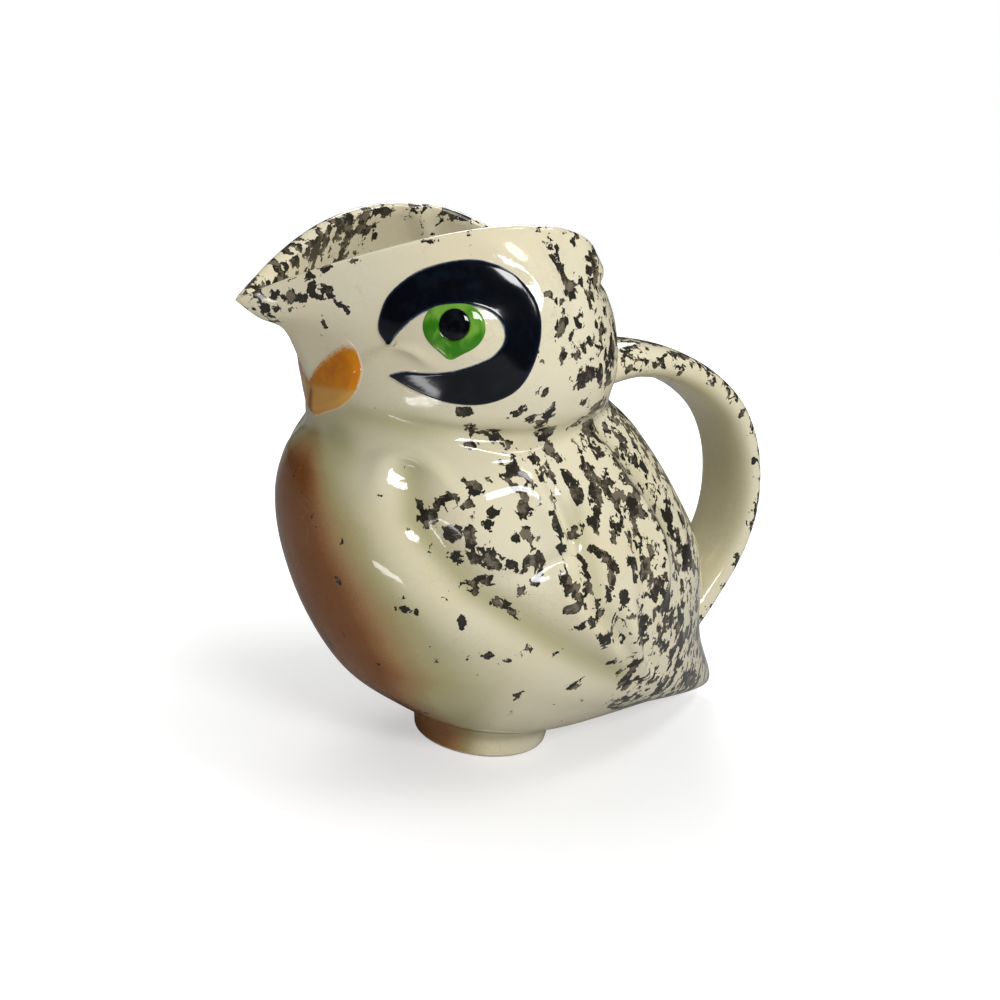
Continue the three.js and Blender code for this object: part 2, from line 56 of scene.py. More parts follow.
# Rings from the foot to the rim: heights at the front, side and back, half width, lean forward, reach
# to the front and to the back, then how sharply the ring is pinched at the front and at the back.
ring_shares = np.array([
    [0.0, 0.0, 0.0, 0.4, 0.0, 0.31, 0.21, 1.0, 1.0],
    [0.04, 0.03, -0.01, 0.6, 0.07, 0.49, 0.42, 1.0, 1.2],
    [0.11, 0.1, -0.02, 0.78, 0.07, 0.71, 0.74, 1.0, 1.9],
    [0.22, 0.175, -0.03, 0.92, 0.11, 0.87, 1.0, 1.0, 2.5],
    [0.345, 0.29, 0.13, 1.0, 0.14, 0.98, 0.885, 1.0, 2.0],
    [0.455, 0.405, 0.34, 0.98, 0.21, 1.0, 0.795, 1.0, 1.4],
    [0.54, 0.51, 0.5, 0.9, 0.32, 0.93, 0.63, 1.0, 1.0],
    [0.59, 0.59, 0.625, 0.8, 0.5, 0.78, 0.51, 1.0, 1.0],
    [0.63, 0.64, 0.685, 0.74, 0.71, 0.69, 0.45, 1.0, 1.0],
    [0.68, 0.695, 0.705, 0.84, 0.79, 0.67, 0.43, 1.2, 1.0],
    [0.75, 0.765, 0.76, 0.88, 0.86, 0.72, 0.46, 1.5, 1.0],
    [0.785, 0.855, 0.83, 0.84, 0.93, 0.76, 0.46, 1.6, 1.0],
    [0.8, 0.925, 0.88, 0.76, 0.96, 0.85, 0.43, 2.0, 1.0],
    [0.825, 1.0, 0.905, 0.66, 1.0, 0.93, 0.42, 2.4, 1.0],
])
# How far the inside of each ring is lifted over the outside, as shares of the wall.
lift_shares = np.zeros((14, 3))
lift_shares[:5] = [[1, 1, 1], [1, 1, 1.3], [0.8, 0.9, 1.6], [0.4, 0.4, 2.2], [0.2, 0.1, 0.6]]
ring_last = len(ring_shares) - 1
front_round_share = 0.12
back_round_share = 0.3
pinch_wall_share = 0.55

outer_rows = ring_shares * [
    body_rise, body_rise, body_rise, half_width, -head_lean, breast_reach, tail_reach, 1, 1]
outer_rows[:, :3] += foot_height
outer_rows[0, [3, 5, 6]] = foot_top_radius
inner_rows = outer_rows.copy()
inner_rows[:, :3] += lift_shares * wall
inner_rows[:, 3] -= wall
inner_rows[:, 5] -= wall * (1 + pinch_wall_share * (outer_rows[:, 7] - 1))
inner_rows[:, 6] -= wall * (1 + 2 * pinch_wall_share * (outer_rows[:, 8] - 1))


def bell(distance, width):
    """A bell curve: 1 in the middle and about a third at the width."""
    return np.exp(-(distance / width) ** 2)


def ramp(distance, length):
    """A straight rise from 0 to 1 over a length, flat beyond both its ends."""
    return np.clip(distance / length, 0, 1)


def smooth_rows(rows, at):
    """Rows read at fractional places along a Catmull-Rom curve, which runs straight on at both ends."""
    cell = np.clip(np.floor(at).astype(int), 0, len(rows) - 2)
    share = (at - cell)[..., None]
    padded = np.vstack([2 * rows[0] - rows[1], rows, 2 * rows[-1] - rows[-2]])
    before, start, end, after = (padded[cell + step] for step in range(4))
    return start + share / 2 * (end - before + share * (
        2 * before - 5 * start + 4 * end - after + share * (3 * (start - end) + after - before)))


def ring_surface(rows, at, angle):
    """The point at a ring and a turn, 0 at the owl's front and a quarter turn at its left: the half width
    times the sine, drawn in by the pinch, and the reach times the cosine, at a height that runs from the
    front's to the side's to the back's."""
    at, angle = np.broadcast_arrays(at, angle)
    front, side, back, width, middle, reach, behind, pinch, tail_pinch = np.moveaxis(
        smooth_rows(rows, at), -1, 0)
    forward = np.cos(angle)
    sideways = np.abs(np.sin(angle))
    ahead = forward >= 0
    rounded = np.where(ahead, front_round_share, back_round_share)
    spread = (1 - rounded) * sideways ** np.where(ahead, pinch, tail_pinch) + rounded * sideways
    middle_height = ((front + back) / 2 + side) / 2
    return np.stack([
        np.sign(np.sin(angle)) * width * spread,
        middle - forward * np.where(ahead, reach, behind),
        middle_height + forward * (front - back) / 2
        + np.cos(2 * angle) * ((front + back) / 2 - middle_height),
    ], axis=-1)


def ring_normal(at, angle):
    """The direction out of the body: the step round the ring crossed with the step up the rings."""
    nudge = 1e-3
    turn = ring_surface(outer_rows, at, angle + nudge) - ring_surface(outer_rows, at, angle - nudge)
    climb = (ring_surface(outer_rows, np.clip(at + nudge, 0, ring_last), angle)
             - ring_surface(outer_rows, np.clip(at - nudge, 0, ring_last), angle))
    normal = np.cross(turn, climb)
    return normal / np.maximum(np.linalg.norm(normal, axis=-1, keepdims=True), 1e-12)


def line_distance(line, places):
    """How far places are from a line of straight stretches, in a plane: the least distance to a stretch."""
    line = np.asarray(line, float)
    nearest = np.full(places.shape[:-1], np.inf)
    for start, end in zip(line[:-1], line[1:]):
        run = end - start
        share = np.clip((places - start) @ run / max(run @ run, 1e-12), 0, 1)
        gap = np.linalg.norm(places - start - share[..., None] * run, axis=-1)
        nearest = np.minimum(nearest, gap)
    return nearest


def fold(rows, places):
    """A ridge or a groove along a smooth line, as a bell curve across it, worked out only near the line. A
    row holds a point of the line, how high it stands there, below 0 for a groove, and half its width."""
    rows = np.asarray(rows, float)
    dots = smooth_rows(rows, np.linspace(0, len(rows) - 1, 6 * len(rows)))
    margin = 3 * rows[:, 3].max()
    near = np.all((places > dots[:, :2].min(0) - margin) & (places < dots[:, :2].max(0) + margin), axis=-1)
    here = places[near]
    nearest = np.full(len(here), np.inf)
    height = np.zeros(len(here))
    for start, end in zip(dots[:-1], dots[1:]):
        run = end[:2] - start[:2]
        share = np.clip((here - start[:2]) @ run / max(run @ run, 1e-12), 0, 1)
        half = start[3] + share * (end[3] - start[3])
        gap = np.linalg.norm(here - start[:2] - share[:, None] * run, axis=-1) / half
        closer = gap < nearest
        nearest = np.where(closer, gap, nearest)
        height = np.where(closer, start[2] + share * (end[2] - start[2]), height)
    rise = np.zeros(places.shape[:-1])
    rise[near] = height * bell(nearest, 1)
    return rise


# The eye's own plane: its middle on the head, the way back and the way out. A row of the lower lid is a point
# back and up from the middle, how high the lid stands there and half its width.
eye_ring = 0.846 * ring_last
eye_around = math.radians(64)
eye_middle = ring_surface(outer_rows, eye_ring, eye_around)
eye_turn = math.radians(57)
eye_back = np.array([math.cos(eye_turn), math.sin(eye_turn), 0.0])
eye_half_length = 19.5
eye_half_height = 17.5
eye_dome = 2.2
lower_lid = [
    [-20, -11, 0.4, 1.2], [-15.5, -8.2, 1.1, 1.15], [-12.5, -6.9, 1.3, 1.15], [-9, -7.2, 1.25, 1.2],
    [-5, -9.2, 0.6, 1.6], [0, -11, 0.0, 1.6],
]

# The folds of the mould on each side, seen from the side. A row is a point of a fold's line, back from the
# foot's middle and up, then how high the fold stands there, below 0 for a groove, and half its width.
wing_reach = 52.0
wing_top = 97.0
fold_rise = 2.0
fold_width = 4.0
fold_shares = {
    "breast_arch": [[-1.15, 0.81, 0, 0.75], [-1.08, 0.92, 0.75, 0.62], [-1.0, 0.963, 0.85, 0.6],
        [-0.885, 0.942, 0.8, 0.6], [-0.78, 0.88, 0.1, 0.6]],
    "breast_edge": [[-1.17, 0.765, 0.15, 1.5], [-1.08, 0.67, 0.4, 1.6], [-0.9, 0.58, 0.5, 1.6],
        [-0.65, 0.5, 0.4, 1.5], [-0.385, 0.42, 0.25, 1.25], [-0.115, 0.36, 0, 1.25]],
    "valley": [[-0.97, 0.935, -0.4, 0.65], [-0.975, 0.885, -1, 0.9], [-0.97, 0.815, -1.15, 1.1],
        [-0.91, 0.77, -1.2, 1.2], [-0.815, 0.71, -1.15, 1.25], [-0.7, 0.645, -1, 1.2],
        [-0.475, 0.575, -0.8, 1.1], [-0.11, 0.46, -0.55, 0.9], [0.27, 0.36, 0, 0.75]],
    "shoulder": [[-0.67, 0.91, 0.45, 1.4], [-0.52, 0.935, 0.75, 1.4], [-0.415, 0.9, 0.75, 1.25],
        [-0.325, 0.795, 0.6, 0.85]],
    "shoulder_back": [[-0.365, 0.96, -0.1, 0.5], [-0.335, 0.895, -0.75, 0.5], [-0.28, 0.835, -1, 0.48],
        [-0.235, 0.785, -1, 0.48], [-0.22, 0.75, -0.3, 0.45]],
    "shoulder_foot": [[-0.275, 0.737, -0.6, 0.5], [-0.365, 0.725, -0.8, 0.6], [-0.5, 0.697, -0.65, 0.7],
        [-0.67, 0.69, -0.25, 0.75]],
    "feather_hollow": [[-0.23, 0.91, -0.2, 1.1], [-0.177, 0.835, -0.6, 1.2], [-0.145, 0.765, -0.4, 1.1]],
    "feather": [[-0.29, 0.71, 0.4, 0.75], [-0.27, 0.65, 0.55, 0.8], [-0.163, 0.58, 0.55, 0.8],
        [-0.02, 0.515, 0.45, 0.8], [0.115, 0.45, 0.15, 0.75]],
    "feather_back": [[-0.135, 0.69, -0.2, 0.88], [-0.06, 0.6, -0.4, 0.82], [0.067, 0.53, -0.45, 0.75],
        [0.17, 0.465, -0.15, 0.75]],
    "wing_back": [[0.02, 1.015, 0.25, 0.75], [0.11, 0.97, 0.65, 0.8], [0.21, 0.895, 0.85, 0.85],
        [0.4, 0.77, 0.9, 0.85], [0.445, 0.69, 0.8, 0.8], [0.455, 0.615, 0.6, 0.75],
        [0.425, 0.535, 0.15, 0.75]],
    "back_valley": [[0.04, 1.06, -0.25, 0.8], [0.125, 1.02, -0.65, 0.85], [0.225, 0.955, -0.8, 0.95],
        [0.395, 0.87, -0.85, 1.05], [0.575, 0.765, -0.8, 1.15], [0.665, 0.665, -0.55, 1.2],
        [0.69, 0.545, -0.05, 1.2]],
    "tail_groove_front": [[0.045, 0.59, -0.15, 0.5], [0.1, 0.54, -0.65, 0.52], [0.155, 0.49, -0.75, 0.52],
        [0.26, 0.42, -0.55, 0.52], [0.385, 0.36, 0, 0.5]],
    "tail_ridge": [[0.155, 0.59, 0.1, 0.6], [0.21, 0.515, 0.5, 0.62], [0.3, 0.45, 0.5, 0.62],
        [0.44, 0.375, 0.05, 0.62]],
    "tail_groove_back": [[0.23, 0.59, -0.1, 0.52], [0.315, 0.48, -0.65, 0.55], [0.445, 0.385, -0.5, 0.55],
        [0.6, 0.31, 0, 0.55]],
    "neck_groove": [[-1.1, 1.07, -0.1, 0.6], [-0.98, 1.05, -0.45, 0.55], [-0.855, 1.042, -0.65, 0.52],
        [-0.71, 1.038, -0.7, 0.52], [-0.577, 1.035, -0.65, 0.55], [-0.317, 1.043, -0.5, 0.6],
        [-0.135, 1.06, -0.35, 0.65], [0.02, 1.077, -0.1, 0.65]],
    "neck_roll": [[-1.04, 1.018, 0.1, 0.5], [-0.855, 1.005, 0.4, 0.5], [-0.71, 1.0, 0.45, 0.5],
        [-0.577, 0.995, 0.4, 0.5], [-0.317, 1.0, 0.3, 0.55], [-0.135, 1.02, 0.15, 0.6]],
    "brow": [[-0.79, 1.52, 0.1, 0.75], [-0.64, 1.48, 0.5, 0.75], [-0.54, 1.45, 0.55, 0.75],
        [-0.49, 1.4, 0.45, 0.75], [-0.48, 1.31, 0.05, 0.75]],
    "ear_groove": [[-0.49, 1.57, -0.45, 0.7], [-0.42, 1.52, -0.7, 0.7], [-0.36, 1.485, -0.75, 0.7],
        [-0.325, 1.44, -0.65, 0.75], [-0.3, 1.35, -0.35, 0.85], [-0.29, 1.25, 0, 0.9]],
    "ear": [[-0.2, 1.55, 0.6, 1.0], [-0.1, 1.5, 0.8, 1.0], [-0.03, 1.47, 0.8, 0.9]],
    "ear_foot": [[-0.1, 1.425, -0.3, 0.5], [0.0, 1.43, -0.55, 0.5], [0.1, 1.44, -0.5, 0.5]],
}
bridge_rise = 1.3
bridge_half_width = 5.5
bridge_high = 113.0
bridge_half_height = 11.0
bridge_front = -40
relief_fade_rings = 1.5


def body_relief(points):
    """How far the mould's relief stands out of the plain body: the eyeball's dome, a cosine squared over an
    ellipse, the lower lid, the folds of each side, and the bridge over the beak."""
    from_eye = np.stack([np.abs(points[..., 0]), points[..., 1], points[..., 2]], -1) - eye_middle
    along, up = from_eye @ eye_back, from_eye[..., 2]
    spread = np.minimum(np.hypot(along / eye_half_length, up / eye_half_height), 1)
    rise = eye_dome * np.cos(spread * math.pi / 2) ** 2 + fold(lower_lid, np.stack([along, up], -1))
    side = points[..., 1:]
    for rows in fold_shares.values():
        rise = rise + fold(np.array(rows) * [wing_reach, wing_top, fold_rise, fold_width], side)
    from_bridge = np.hypot(
        points[..., 0] / bridge_half_width, (points[..., 2] - bridge_high) / bridge_half_height)
    return rise + bridge_rise * bell(from_bridge, 1) * (points[..., 1] < bridge_front)


def on_body(at, angle, lift=0.0):
    """The body's outside with its relief, which fades over the lowest rings, or a surface lifted off it
    along the plain body's normal."""
    points = ring_surface(outer_rows, at, angle)
    fade = ramp(at, relief_fade_rings)
    return points + ring_normal(at, angle) * (body_relief(points) * fade + lift)[..., None]


def find_on_body(plane, wanted, at, angle):
    """The ring and turn where the body, seen along a plane's two rows, shows the wanted places: Newton's
    steps from a first guess."""
    at = np.broadcast_to(np.asarray(at, float), wanted.shape[:-1]).copy()
    angle = np.broadcast_to(np.asarray(angle, float), wanted.shape[:-1]).copy()
    nudge = 1e-4
    least = 1e-9
    ring_stride, turn_stride, lowest_ring = 0.5, 0.3, 0.05
    for _ in range(30):
        here = ring_surface(outer_rows, at, angle) @ plane.T
        by_ring = (ring_surface(outer_rows, at + nudge, angle) @ plane.T - here) / nudge
        by_turn = (ring_surface(outer_rows, at, angle + nudge) @ plane.T - here) / nudge
        miss = wanted - here
        size = by_ring[..., 0] * by_turn[..., 1] - by_ring[..., 1] * by_turn[..., 0]
        size = np.where(np.abs(size) < least, least, size)
        step_ring = (miss[..., 0] * by_turn[..., 1] - miss[..., 1] * by_turn[..., 0]) / size
        step_turn = (by_ring[..., 0] * miss[..., 1] - by_ring[..., 1] * miss[..., 0]) / size
        at = np.clip(at + np.clip(step_ring, -ring_stride, ring_stride), lowest_ring, ring_last)
        angle = angle + np.clip(step_turn, -turn_stride, turn_stride)
    return at, angle


def linked(name, data):
    """An object for a mesh, a lamp or a camera, in the scene."""
    item = bpy.data.objects.new(name, data)
    bpy.context.scene.collection.objects.link(item)
    return item


def closed_skin(name, loops, paints=None, mirror=False):
    """A closed mesh over rows of loops, each end closed on its middle. Each paint is a number for every
    point, kept as an attribute. A mirrored skin is the same one on the owl's right."""
    points = np.vstack([loops.reshape(-1, 3), loops[0].mean(0), loops[-1].mean(0)])
    index = np.arange(len(points) - 2).reshape(loops.shape[:2])
    beside = np.roll(index, -1, 1)
    sides = np.stack([index[:-1], beside[:-1], beside[1:], index[1:]], -1).reshape(-1, 4)
    hub = np.full(index.shape[1], len(points) - 2)
    low_fan = np.stack([hub, beside[0], index[0]], 1)
    top_fan = np.stack([hub + 1, index[-1], beside[-1]], 1)
    corner = points[sides]
    across = np.cross(corner[:, 2] - corner[:, 0], corner[:, 3] - corner[:, 1])
    volume = ((corner[:, 0] - points.mean(0)) * across).sum()
    if mirror:
        points = points * [-1, 1, 1]
    faces = sides.tolist() + low_fan.tolist() + top_fan.tolist()
    if (volume < 0) != mirror:
        faces = [corners[::-1] for corners in faces]
    mesh = bpy.data.meshes.new(name)
    mesh.from_pydata((points + [0, FOOT_OFFSET_Y, 0]) * METRES, [], faces)
    mesh.update()
    mesh.polygons.foreach_set("use_smooth", np.ones(len(mesh.polygons), bool))
    for paint, values in (paints or {}).items():
        every = np.concatenate([values.reshape(-1), [values[0].mean(), values[-1].mean()]])
        mesh.attributes.new(paint, "FLOAT", "POINT").data.foreach_set("value", every.astype(np.float32))
    return linked(name, mesh)


# Where the sponge was pressed on each side, seen from the side: how far back and how high, half the mark's
# length and half its width, and how many degrees its length rises towards the back.
sponge_marks = [
    # The shoulder of the wing
    [-31, 93.5, 2.4, 0.9, 90], [-28, 94, 2.2, 0.9, 90], [-37, 98.5, 1.2, 0.8, 0], [-38, 88.5, 2, 1.4, 0],
    [-34, 90, 1, 0.7, 0], [-26, 89, 4.4, 2.6, -40], [-26, 84.5, 2.8, 2, 90], [-43.5, 85, 2.7, 1.3, 30],
    [-47.5, 80, 2.2, 1.6, 90], [-49, 82.5, 1.4, 0.7, 90], [-46.3, 82.5, 1.7, 0.8, 0],
    [-41, 84.5, 1.4, 0.8, 10], [-37.5, 81, 2.6, 1.7, -20], [-35, 83.5, 1.4, 0.9, 0],
    [-39, 77, 2.8, 1.5, 100], [-36.5, 73.6, 2.6, 1.7, 100], [-43, 78.5, 1.2, 1, 0], [-42.5, 75, 2, 1.1, 90],
    [-41, 71.5, 1.5, 1, 30], [-39.5, 69.5, 2, 0.7, 25], [-34, 70, 2.5, 1.1, -10], [-29.5, 70.5, 2, 0.9, -40],
    [-25.2, 70.6, 3, 1.1, 75], [-22.2, 70.8, 3.2, 1.5, 100], [-24.5, 65, 2.4, 1.3, 50],
    [-26.5, 79, 2, 1.2, 0], [-29, 77, 0.8, 0.7, 0], [-24, 76.8, 2.3, 1.1, 80], [-34, 65.5, 2.1, 1.1, 30],
    [-37, 62.5, 1.3, 0.8, -30], [-29, 58.7, 3.4, 1.1, -35], [-25.2, 56.4, 1.4, 0.8, -30],
    # The feathers behind it
    [-18, 80.3, 3.4, 1, -65], [-16.5, 75, 2, 1.2, 0], [-21, 94, 3.6, 1.5, -60], [-17.5, 93, 3.6, 1.2, -60],
    [-15, 96.5, 3.2, 1.6, -50], [-11.5, 90, 3.4, 1.6, -60], [-9.5, 87, 3, 1.5, 80], [-18, 86, 2.4, 1.3, -60],
    [-4, 92, 4, 2.2, -50], [-4, 86.5, 4.4, 2.2, 80], [2, 88, 4, 2.6, -60], [-7, 97, 3.4, 1.2, -50],
    [-1, 98, 3, 1, -50], [-10.5, 78.5, 3.6, 1.8, 50], [-6, 80.5, 3.6, 1.8, -60], [2.5, 78, 4.2, 3.4, -70],
    [5.5, 83, 4.2, 2, 90], [-10.5, 70.5, 3.8, 1.8, -50], [-5, 73.2, 2.8, 1.2, -30],
    [-15.2, 66.5, 3.4, 1.3, 100], [-12, 64.8, 3.6, 1.3, 60], [-8.5, 62.5, 3.2, 2, 90],
    [-13, 59.5, 2, 1.3, 20], [-5, 59.5, 1.7, 1.2, 0], [0, 67, 4, 1.7, 90], [0.5, 61.5, 2.4, 1.5, 80],
    [7, 70.5, 2.2, 1.7, 0], [9.5, 66.5, 4.4, 1.5, 90], [5, 61, 2.4, 1.6, -50], [-7, 55, 2.8, 1.5, 20],
    [0, 50, 3, 1.7, -35], [3, 53.5, 3.6, 1, 80], [6.5, 41.5, 1.7, 1.1, 20], [-3, 57, 1.5, 1, 0],
    [13, 60, 3, 1.3, -60], [11, 76, 3.4, 1.8, -60], [16, 81, 4, 1.6, -60],
    # The belly, the throat and the cheek
    [-38.6, 54.8, 1.9, 0.8, 100], [-30, 45, 1.3, 0.9, 40], [-23.8, 44.8, 3, 1.1, 30],
    [-20.8, 47.6, 0.7, 0.6, 0], [-11, 46.2, 1.5, 0.7, 45], [-3, 35, 2, 1, 45], [-16.7, 31.6, 1.8, 1.2, 60],
    [-50.8, 55.9, 0.8, 0.6, 0], [-48.5, 55.7, 0.7, 0.6, 0], [-42.4, 107, 2, 1.2, 10],
    [-38, 102.5, 2, 1.1, -40], [-34.5, 101.8, 2.4, 0.9, 20], [-31.5, 100, 2.8, 1.1, -30],
    [-28.5, 98.5, 1.5, 0.8, 0], [-18, 101.7, 3.2, 2.4, 20], [-8, 104.5, 3.6, 1.1, 50],
    [-4, 106.5, 3.6, 1.2, 60], [-21.5, 106.5, 3.6, 1.7, 80], [-29.5, 108.5, 3.2, 1.1, 40],
    [-25.5, 113.5, 3.4, 1.5, 60], [-27.3, 121.5, 2.4, 1, 110], [-26, 106, 2, 0.9, 30],
    # The back of the head and the spout
    [-14, 117.5, 4.6, 3.6, 10], [-15, 125, 3.8, 3.2, 90], [-20, 123, 1.8, 1.2, 60], [-14, 131, 2.8, 2, 80],
    [-20, 131, 2.6, 1.5, 60], [-17, 137, 2.8, 2, 20], [-21.5, 135.5, 1.4, 1, 0], [-24.5, 137, 1.1, 0.8, 0],
    [-22.5, 127, 1.2, 0.9, 60], [-20.5, 146.5, 3, 1.6, -60], [-18.5, 142.5, 3.4, 0.9, -72],
    [-24, 151.5, 2.5, 0.9, 0], [-13, 149.5, 3, 1.3, -50], [-7, 146, 2.6, 1, -70], [-3, 142, 2.2, 0.9, -70],
    [-72, 130.8, 2.6, 1.9, -20], [-69, 128.5, 2, 0.8, -40], [-76, 128.6, 2.6, 1.1, -35],
    [-80.5, 124.6, 2.6, 0.8, -35],
    # The tail and the rear edge
    [15, 39.5, 4.2, 1.4, 35], [15, 34, 2.4, 1.8, 90], [17, 68, 4.5, 2.6, 90], [23, 56, 4.2, 2.8, -60],
    [24, 45.5, 3.6, 2.4, -60], [21, 92, 4.6, 1.6, -60], [33, 82, 4.2, 1.8, -55], [30, 48, 4.2, 2.6, 40],
    [26, 30, 4.2, 2.8, 35], [36, 25, 4.2, 3.2, 30], [32, 66, 4.2, 2.2, -70], [40, 38, 5, 3.4, -60],
]
sponge_deepest = 0.36
sponge_farthest = -1.3
# The sponge covered everything behind one line and above another, most thickly on the tail, and it covered
# the spout's tip. It was kept off a strip along the front's middle.
rear_line_high = [12, 24, 38, 52, 66, 84, 98, 110, 152]
rear_line_back = [24, 16, 16, 12, 10, 4, 0, -8, -8]
under_line_back = [16, 60]
under_line_high = [22, 5]
tail_back = 20
tail_high = 52
spout_tip_back = -80
spout_tip_high = 128
sponge_fade = 9
clear_half_width = 14


def sponge_on_body(points):
    """How far inside a sponged mark a place is, in millimetres: below 0 outside the marks, and about 0 all
    over the places that the sponge covered, where the glaze decides. The owl's right has its marks moved."""
    across, back, high = np.moveaxis(points, -1, 0)
    right = ramp(-across, 10)
    back = back + right * (2.2 + 2.6 * np.sin(high / 7))
    high = high + right * (1.5 + 2.4 * np.cos(back / 6))
    inside = np.full(across.shape, sponge_farthest)
    for mark_back, mark_high, half_long, half_short, rise in sponge_marks:
        from_back, from_high = back - mark_back, high - mark_high
        run, lift = math.cos(math.radians(rise)), math.sin(math.radians(rise))
        along = (from_back * run + from_high * lift) / half_long
        beside = (from_high * run - from_back * lift) / half_short
        inside = np.maximum(inside, (1 - np.hypot(along, beside)) * half_short)
    inside = np.minimum(inside, sponge_deepest)
    sideways = ramp(np.abs(across), clear_half_width)
    inside = inside * sideways + sponge_farthest * (1 - sideways)
    rear = -0.16 * np.clip(np.interp(high, rear_line_high, rear_line_back) - back, 0, sponge_fade)
    lowest = -0.25 * np.clip(np.interp(back, under_line_back, under_line_high) - high, 0, sponge_fade)
    tail = 0.1 * ramp(back - tail_back, 16) * ramp(tail_high - high, 14)
    tip = 0.1 - 0.12 * np.clip(back - spout_tip_back, 0, 20) - ramp(spout_tip_high - high, 10)
    return np.maximum.reduce([inside, rear + lowest + tail, tip, np.full(across.shape, sponge_farthest)])


# The blush by height: half its full width, half the width at which it ends, and the middle of the green
# beside it. It fades out under the throat and behind the breast.
blush_high = [0, 12, 24, 33, 45, 55, 65, 75, 84, 94]
blush_full = [10, 11, 14, 20, 20, 18, 14, 10, 6, 1]
blush_gone = [24, 26, 31, 38, 41, 39, 35, 29, 20, 9]
blush_green = [25, 25, 30, 34, 35, 32, 27, 22, 16, 10]
throat_high = 100
blush_below_throat = 1
blush_top_fade = 14
blush_back = -6
blush_back_fade = 12
green_width = 7
chin_width = 6
# The lines along which the glaze pools and greenish shade is painted into the creases, seen from the side:
# how much, how wide, and the line's points.
pool_and_shade_lines = [
    [0.9, 3.6, [[-50, 90], [-50, 79], [-47, 74.5], [-42, 69], [-36, 62.5], [-25, 55.5], [-6, 44.5],
                [12, 36]]],
    [0.5, 2.6, [[-60, 102], [-45, 101.5], [-20, 102], [0, 104]]],
    [0.5, 3.0, [[-11, 84], [-9, 76], [-4, 60], [4, 50]]],
    [0.5, 3.0, [[3, 100], [12, 92], [30, 74]]],
]


def blush_on_body(points):
    """The airbrushed brown on the breast and the front of the foot: full within some distance of the
    middle line, fading beyond it, and only below the throat."""
    across, back, high = np.moveaxis(points, -1, 0)
    across = np.abs(across)
    full = np.interp(high, blush_high, blush_full)
    gone = np.interp(high, blush_high, blush_gone)
    sideways = ramp(gone - across, gone - full)
    ahead = ramp(blush_back - back, blush_back_fade)
    return sideways * ahead * ramp(throat_high - blush_below_throat - high, blush_top_fade)


def pool_and_shade_on_body(points):
    """Where the glaze runs thick and greenish, and where greenish shade is painted: beside the blush, in the
    hollow by the wing, round the neck, behind the wing and under the chin."""
    across, back, high = np.moveaxis(points, -1, 0)
    across = np.abs(across)
    pool_and_shade = sum(share * bell(line_distance(line, points[..., 1:]), width) for share, width, line in pool_and_shade_lines)
    beside = bell(across - np.interp(high, blush_high, blush_green), green_width) * ramp(-14 - back, 10)
    pool_and_shade += 0.9 * beside * ramp(throat_high + 2 - high, 8)
    chin = bell(high - throat_high, chin_width) * ramp(-40 - back, 10)
    return np.clip(pool_and_shade + 0.5 * chin, 0, 1)


def round_turns(count):
    """Evenly spaced turns all round."""
    return np.linspace(0, 2 * math.pi, count, endpoint=False)


turn_count = 320
outer_count = 240
lip_count = 8
inner_count = 52
turns = round_turns(turn_count)
climb = np.linspace(0, ring_last, outer_count)[:, None]
outer_loops = on_body(climb, turns)
fall = np.linspace(ring_last, 0, inner_count)[:, None]
inner_grooves = np.minimum(body_relief(ring_surface(outer_rows, fall, turns)), 0)
inner_loops = ring_surface(inner_rows, fall, turns) + ring_normal(fall, turns) * inner_grooves[..., None]
across_lip = np.linspace(0, 1, lip_count + 2)[1:-1, None, None]
lip_loops = outer_loops[-1] + (inner_loops[0] - outer_loops[-1]) * (1 - np.cos(math.pi * across_lip)) / 2
lip_loops[..., 2] += lip_rise * np.sin(math.pi * across_lip[..., 0])
body_loops = np.concatenate([outer_loops, lip_loops, inner_loops])
is_inside = np.concatenate([np.zeros(outer_count), np.linspace(0, 1, lip_count), np.ones(inner_count)])
is_inside = is_inside[:, None]
# The sponge also went round inside the rim, more at the back than along the spout, and over the lip.
below_rim = outer_loops[-1, :, 2] - body_loops[..., 2]
spout_side = ramp(-30 - body_loops[..., 1], 10)
rim_sponge = 0.16 - 0.015 * below_rim - 0.9 * ramp(below_rim - 16, 12) - 1.1 * (1 - spout_side)
rear_rim = 0.1 - 0.3 * np.maximum(below_rim, 0) - 0.3 * spout_side
rim_sponge = np.maximum.reduce([rim_sponge, rear_rim, np.full(rear_rim.shape, sponge_farthest)])
lip_left = np.interp(body_loops[..., 1], [-72, -60, -30, -18], [0.1, -0.6, -0.5, 0.0])
lip_right = np.interp(body_loops[..., 1], [-60, -30, -18], [0.2, 0.05, 0.0])
lip_sponge = np.where(body_loops[..., 0] > 0, lip_left, lip_right) - 0.5 * np.abs(below_rim)
body_sponge = sponge_on_body(body_loops) * (1 - is_inside) + rim_sponge * is_inside
body_sponge = np.maximum(body_sponge, lip_sponge)
# The body's pool paint marks pooled glaze and painted shade in its hollows and creases.
body = closed_skin("pitcher_body", body_loops, {
    "sponge": body_sponge,
    "blush": blush_on_body(body_loops) * (1 - is_inside),
    "pool_and_shade": pool_and_shade_on_body(body_loops) * (1 - is_inside),
})


def feed(value, entry):
    """A socket linked to an input, or a number, vector or colour set on it."""
    if isinstance(value, bpy.types.NodeSocket):
        entry.id_data.links.new(value, entry)
    else:
        entry.default_value = (*value, 1) if entry.type == "RGBA" else value


def added(tree, kind, inputs, **settings):
    """A shader node with its settings made and its inputs fed, each by its name or place."""
    node = tree.nodes.new("ShaderNode" + kind)
    for name, value in settings.items():
        setattr(node, name, value)
    for label, value in inputs.items():
        feed(value, node.inputs[label])
    return node


def sums(operation, *values, clamp=False):
    """A Math node on sockets or numbers, and its result."""
    tree = next(value.id_data for value in values if isinstance(value, bpy.types.NodeSocket))
    return added(tree, "Math", dict(enumerate(values)), operation=operation, use_clamp=clamp).outputs[0]


def scaled(value, by, plus=0.0, clamp=False):
    """A value times a number or another value, plus a third."""
    return sums("MULTIPLY_ADD", value, by, plus, clamp=clamp)


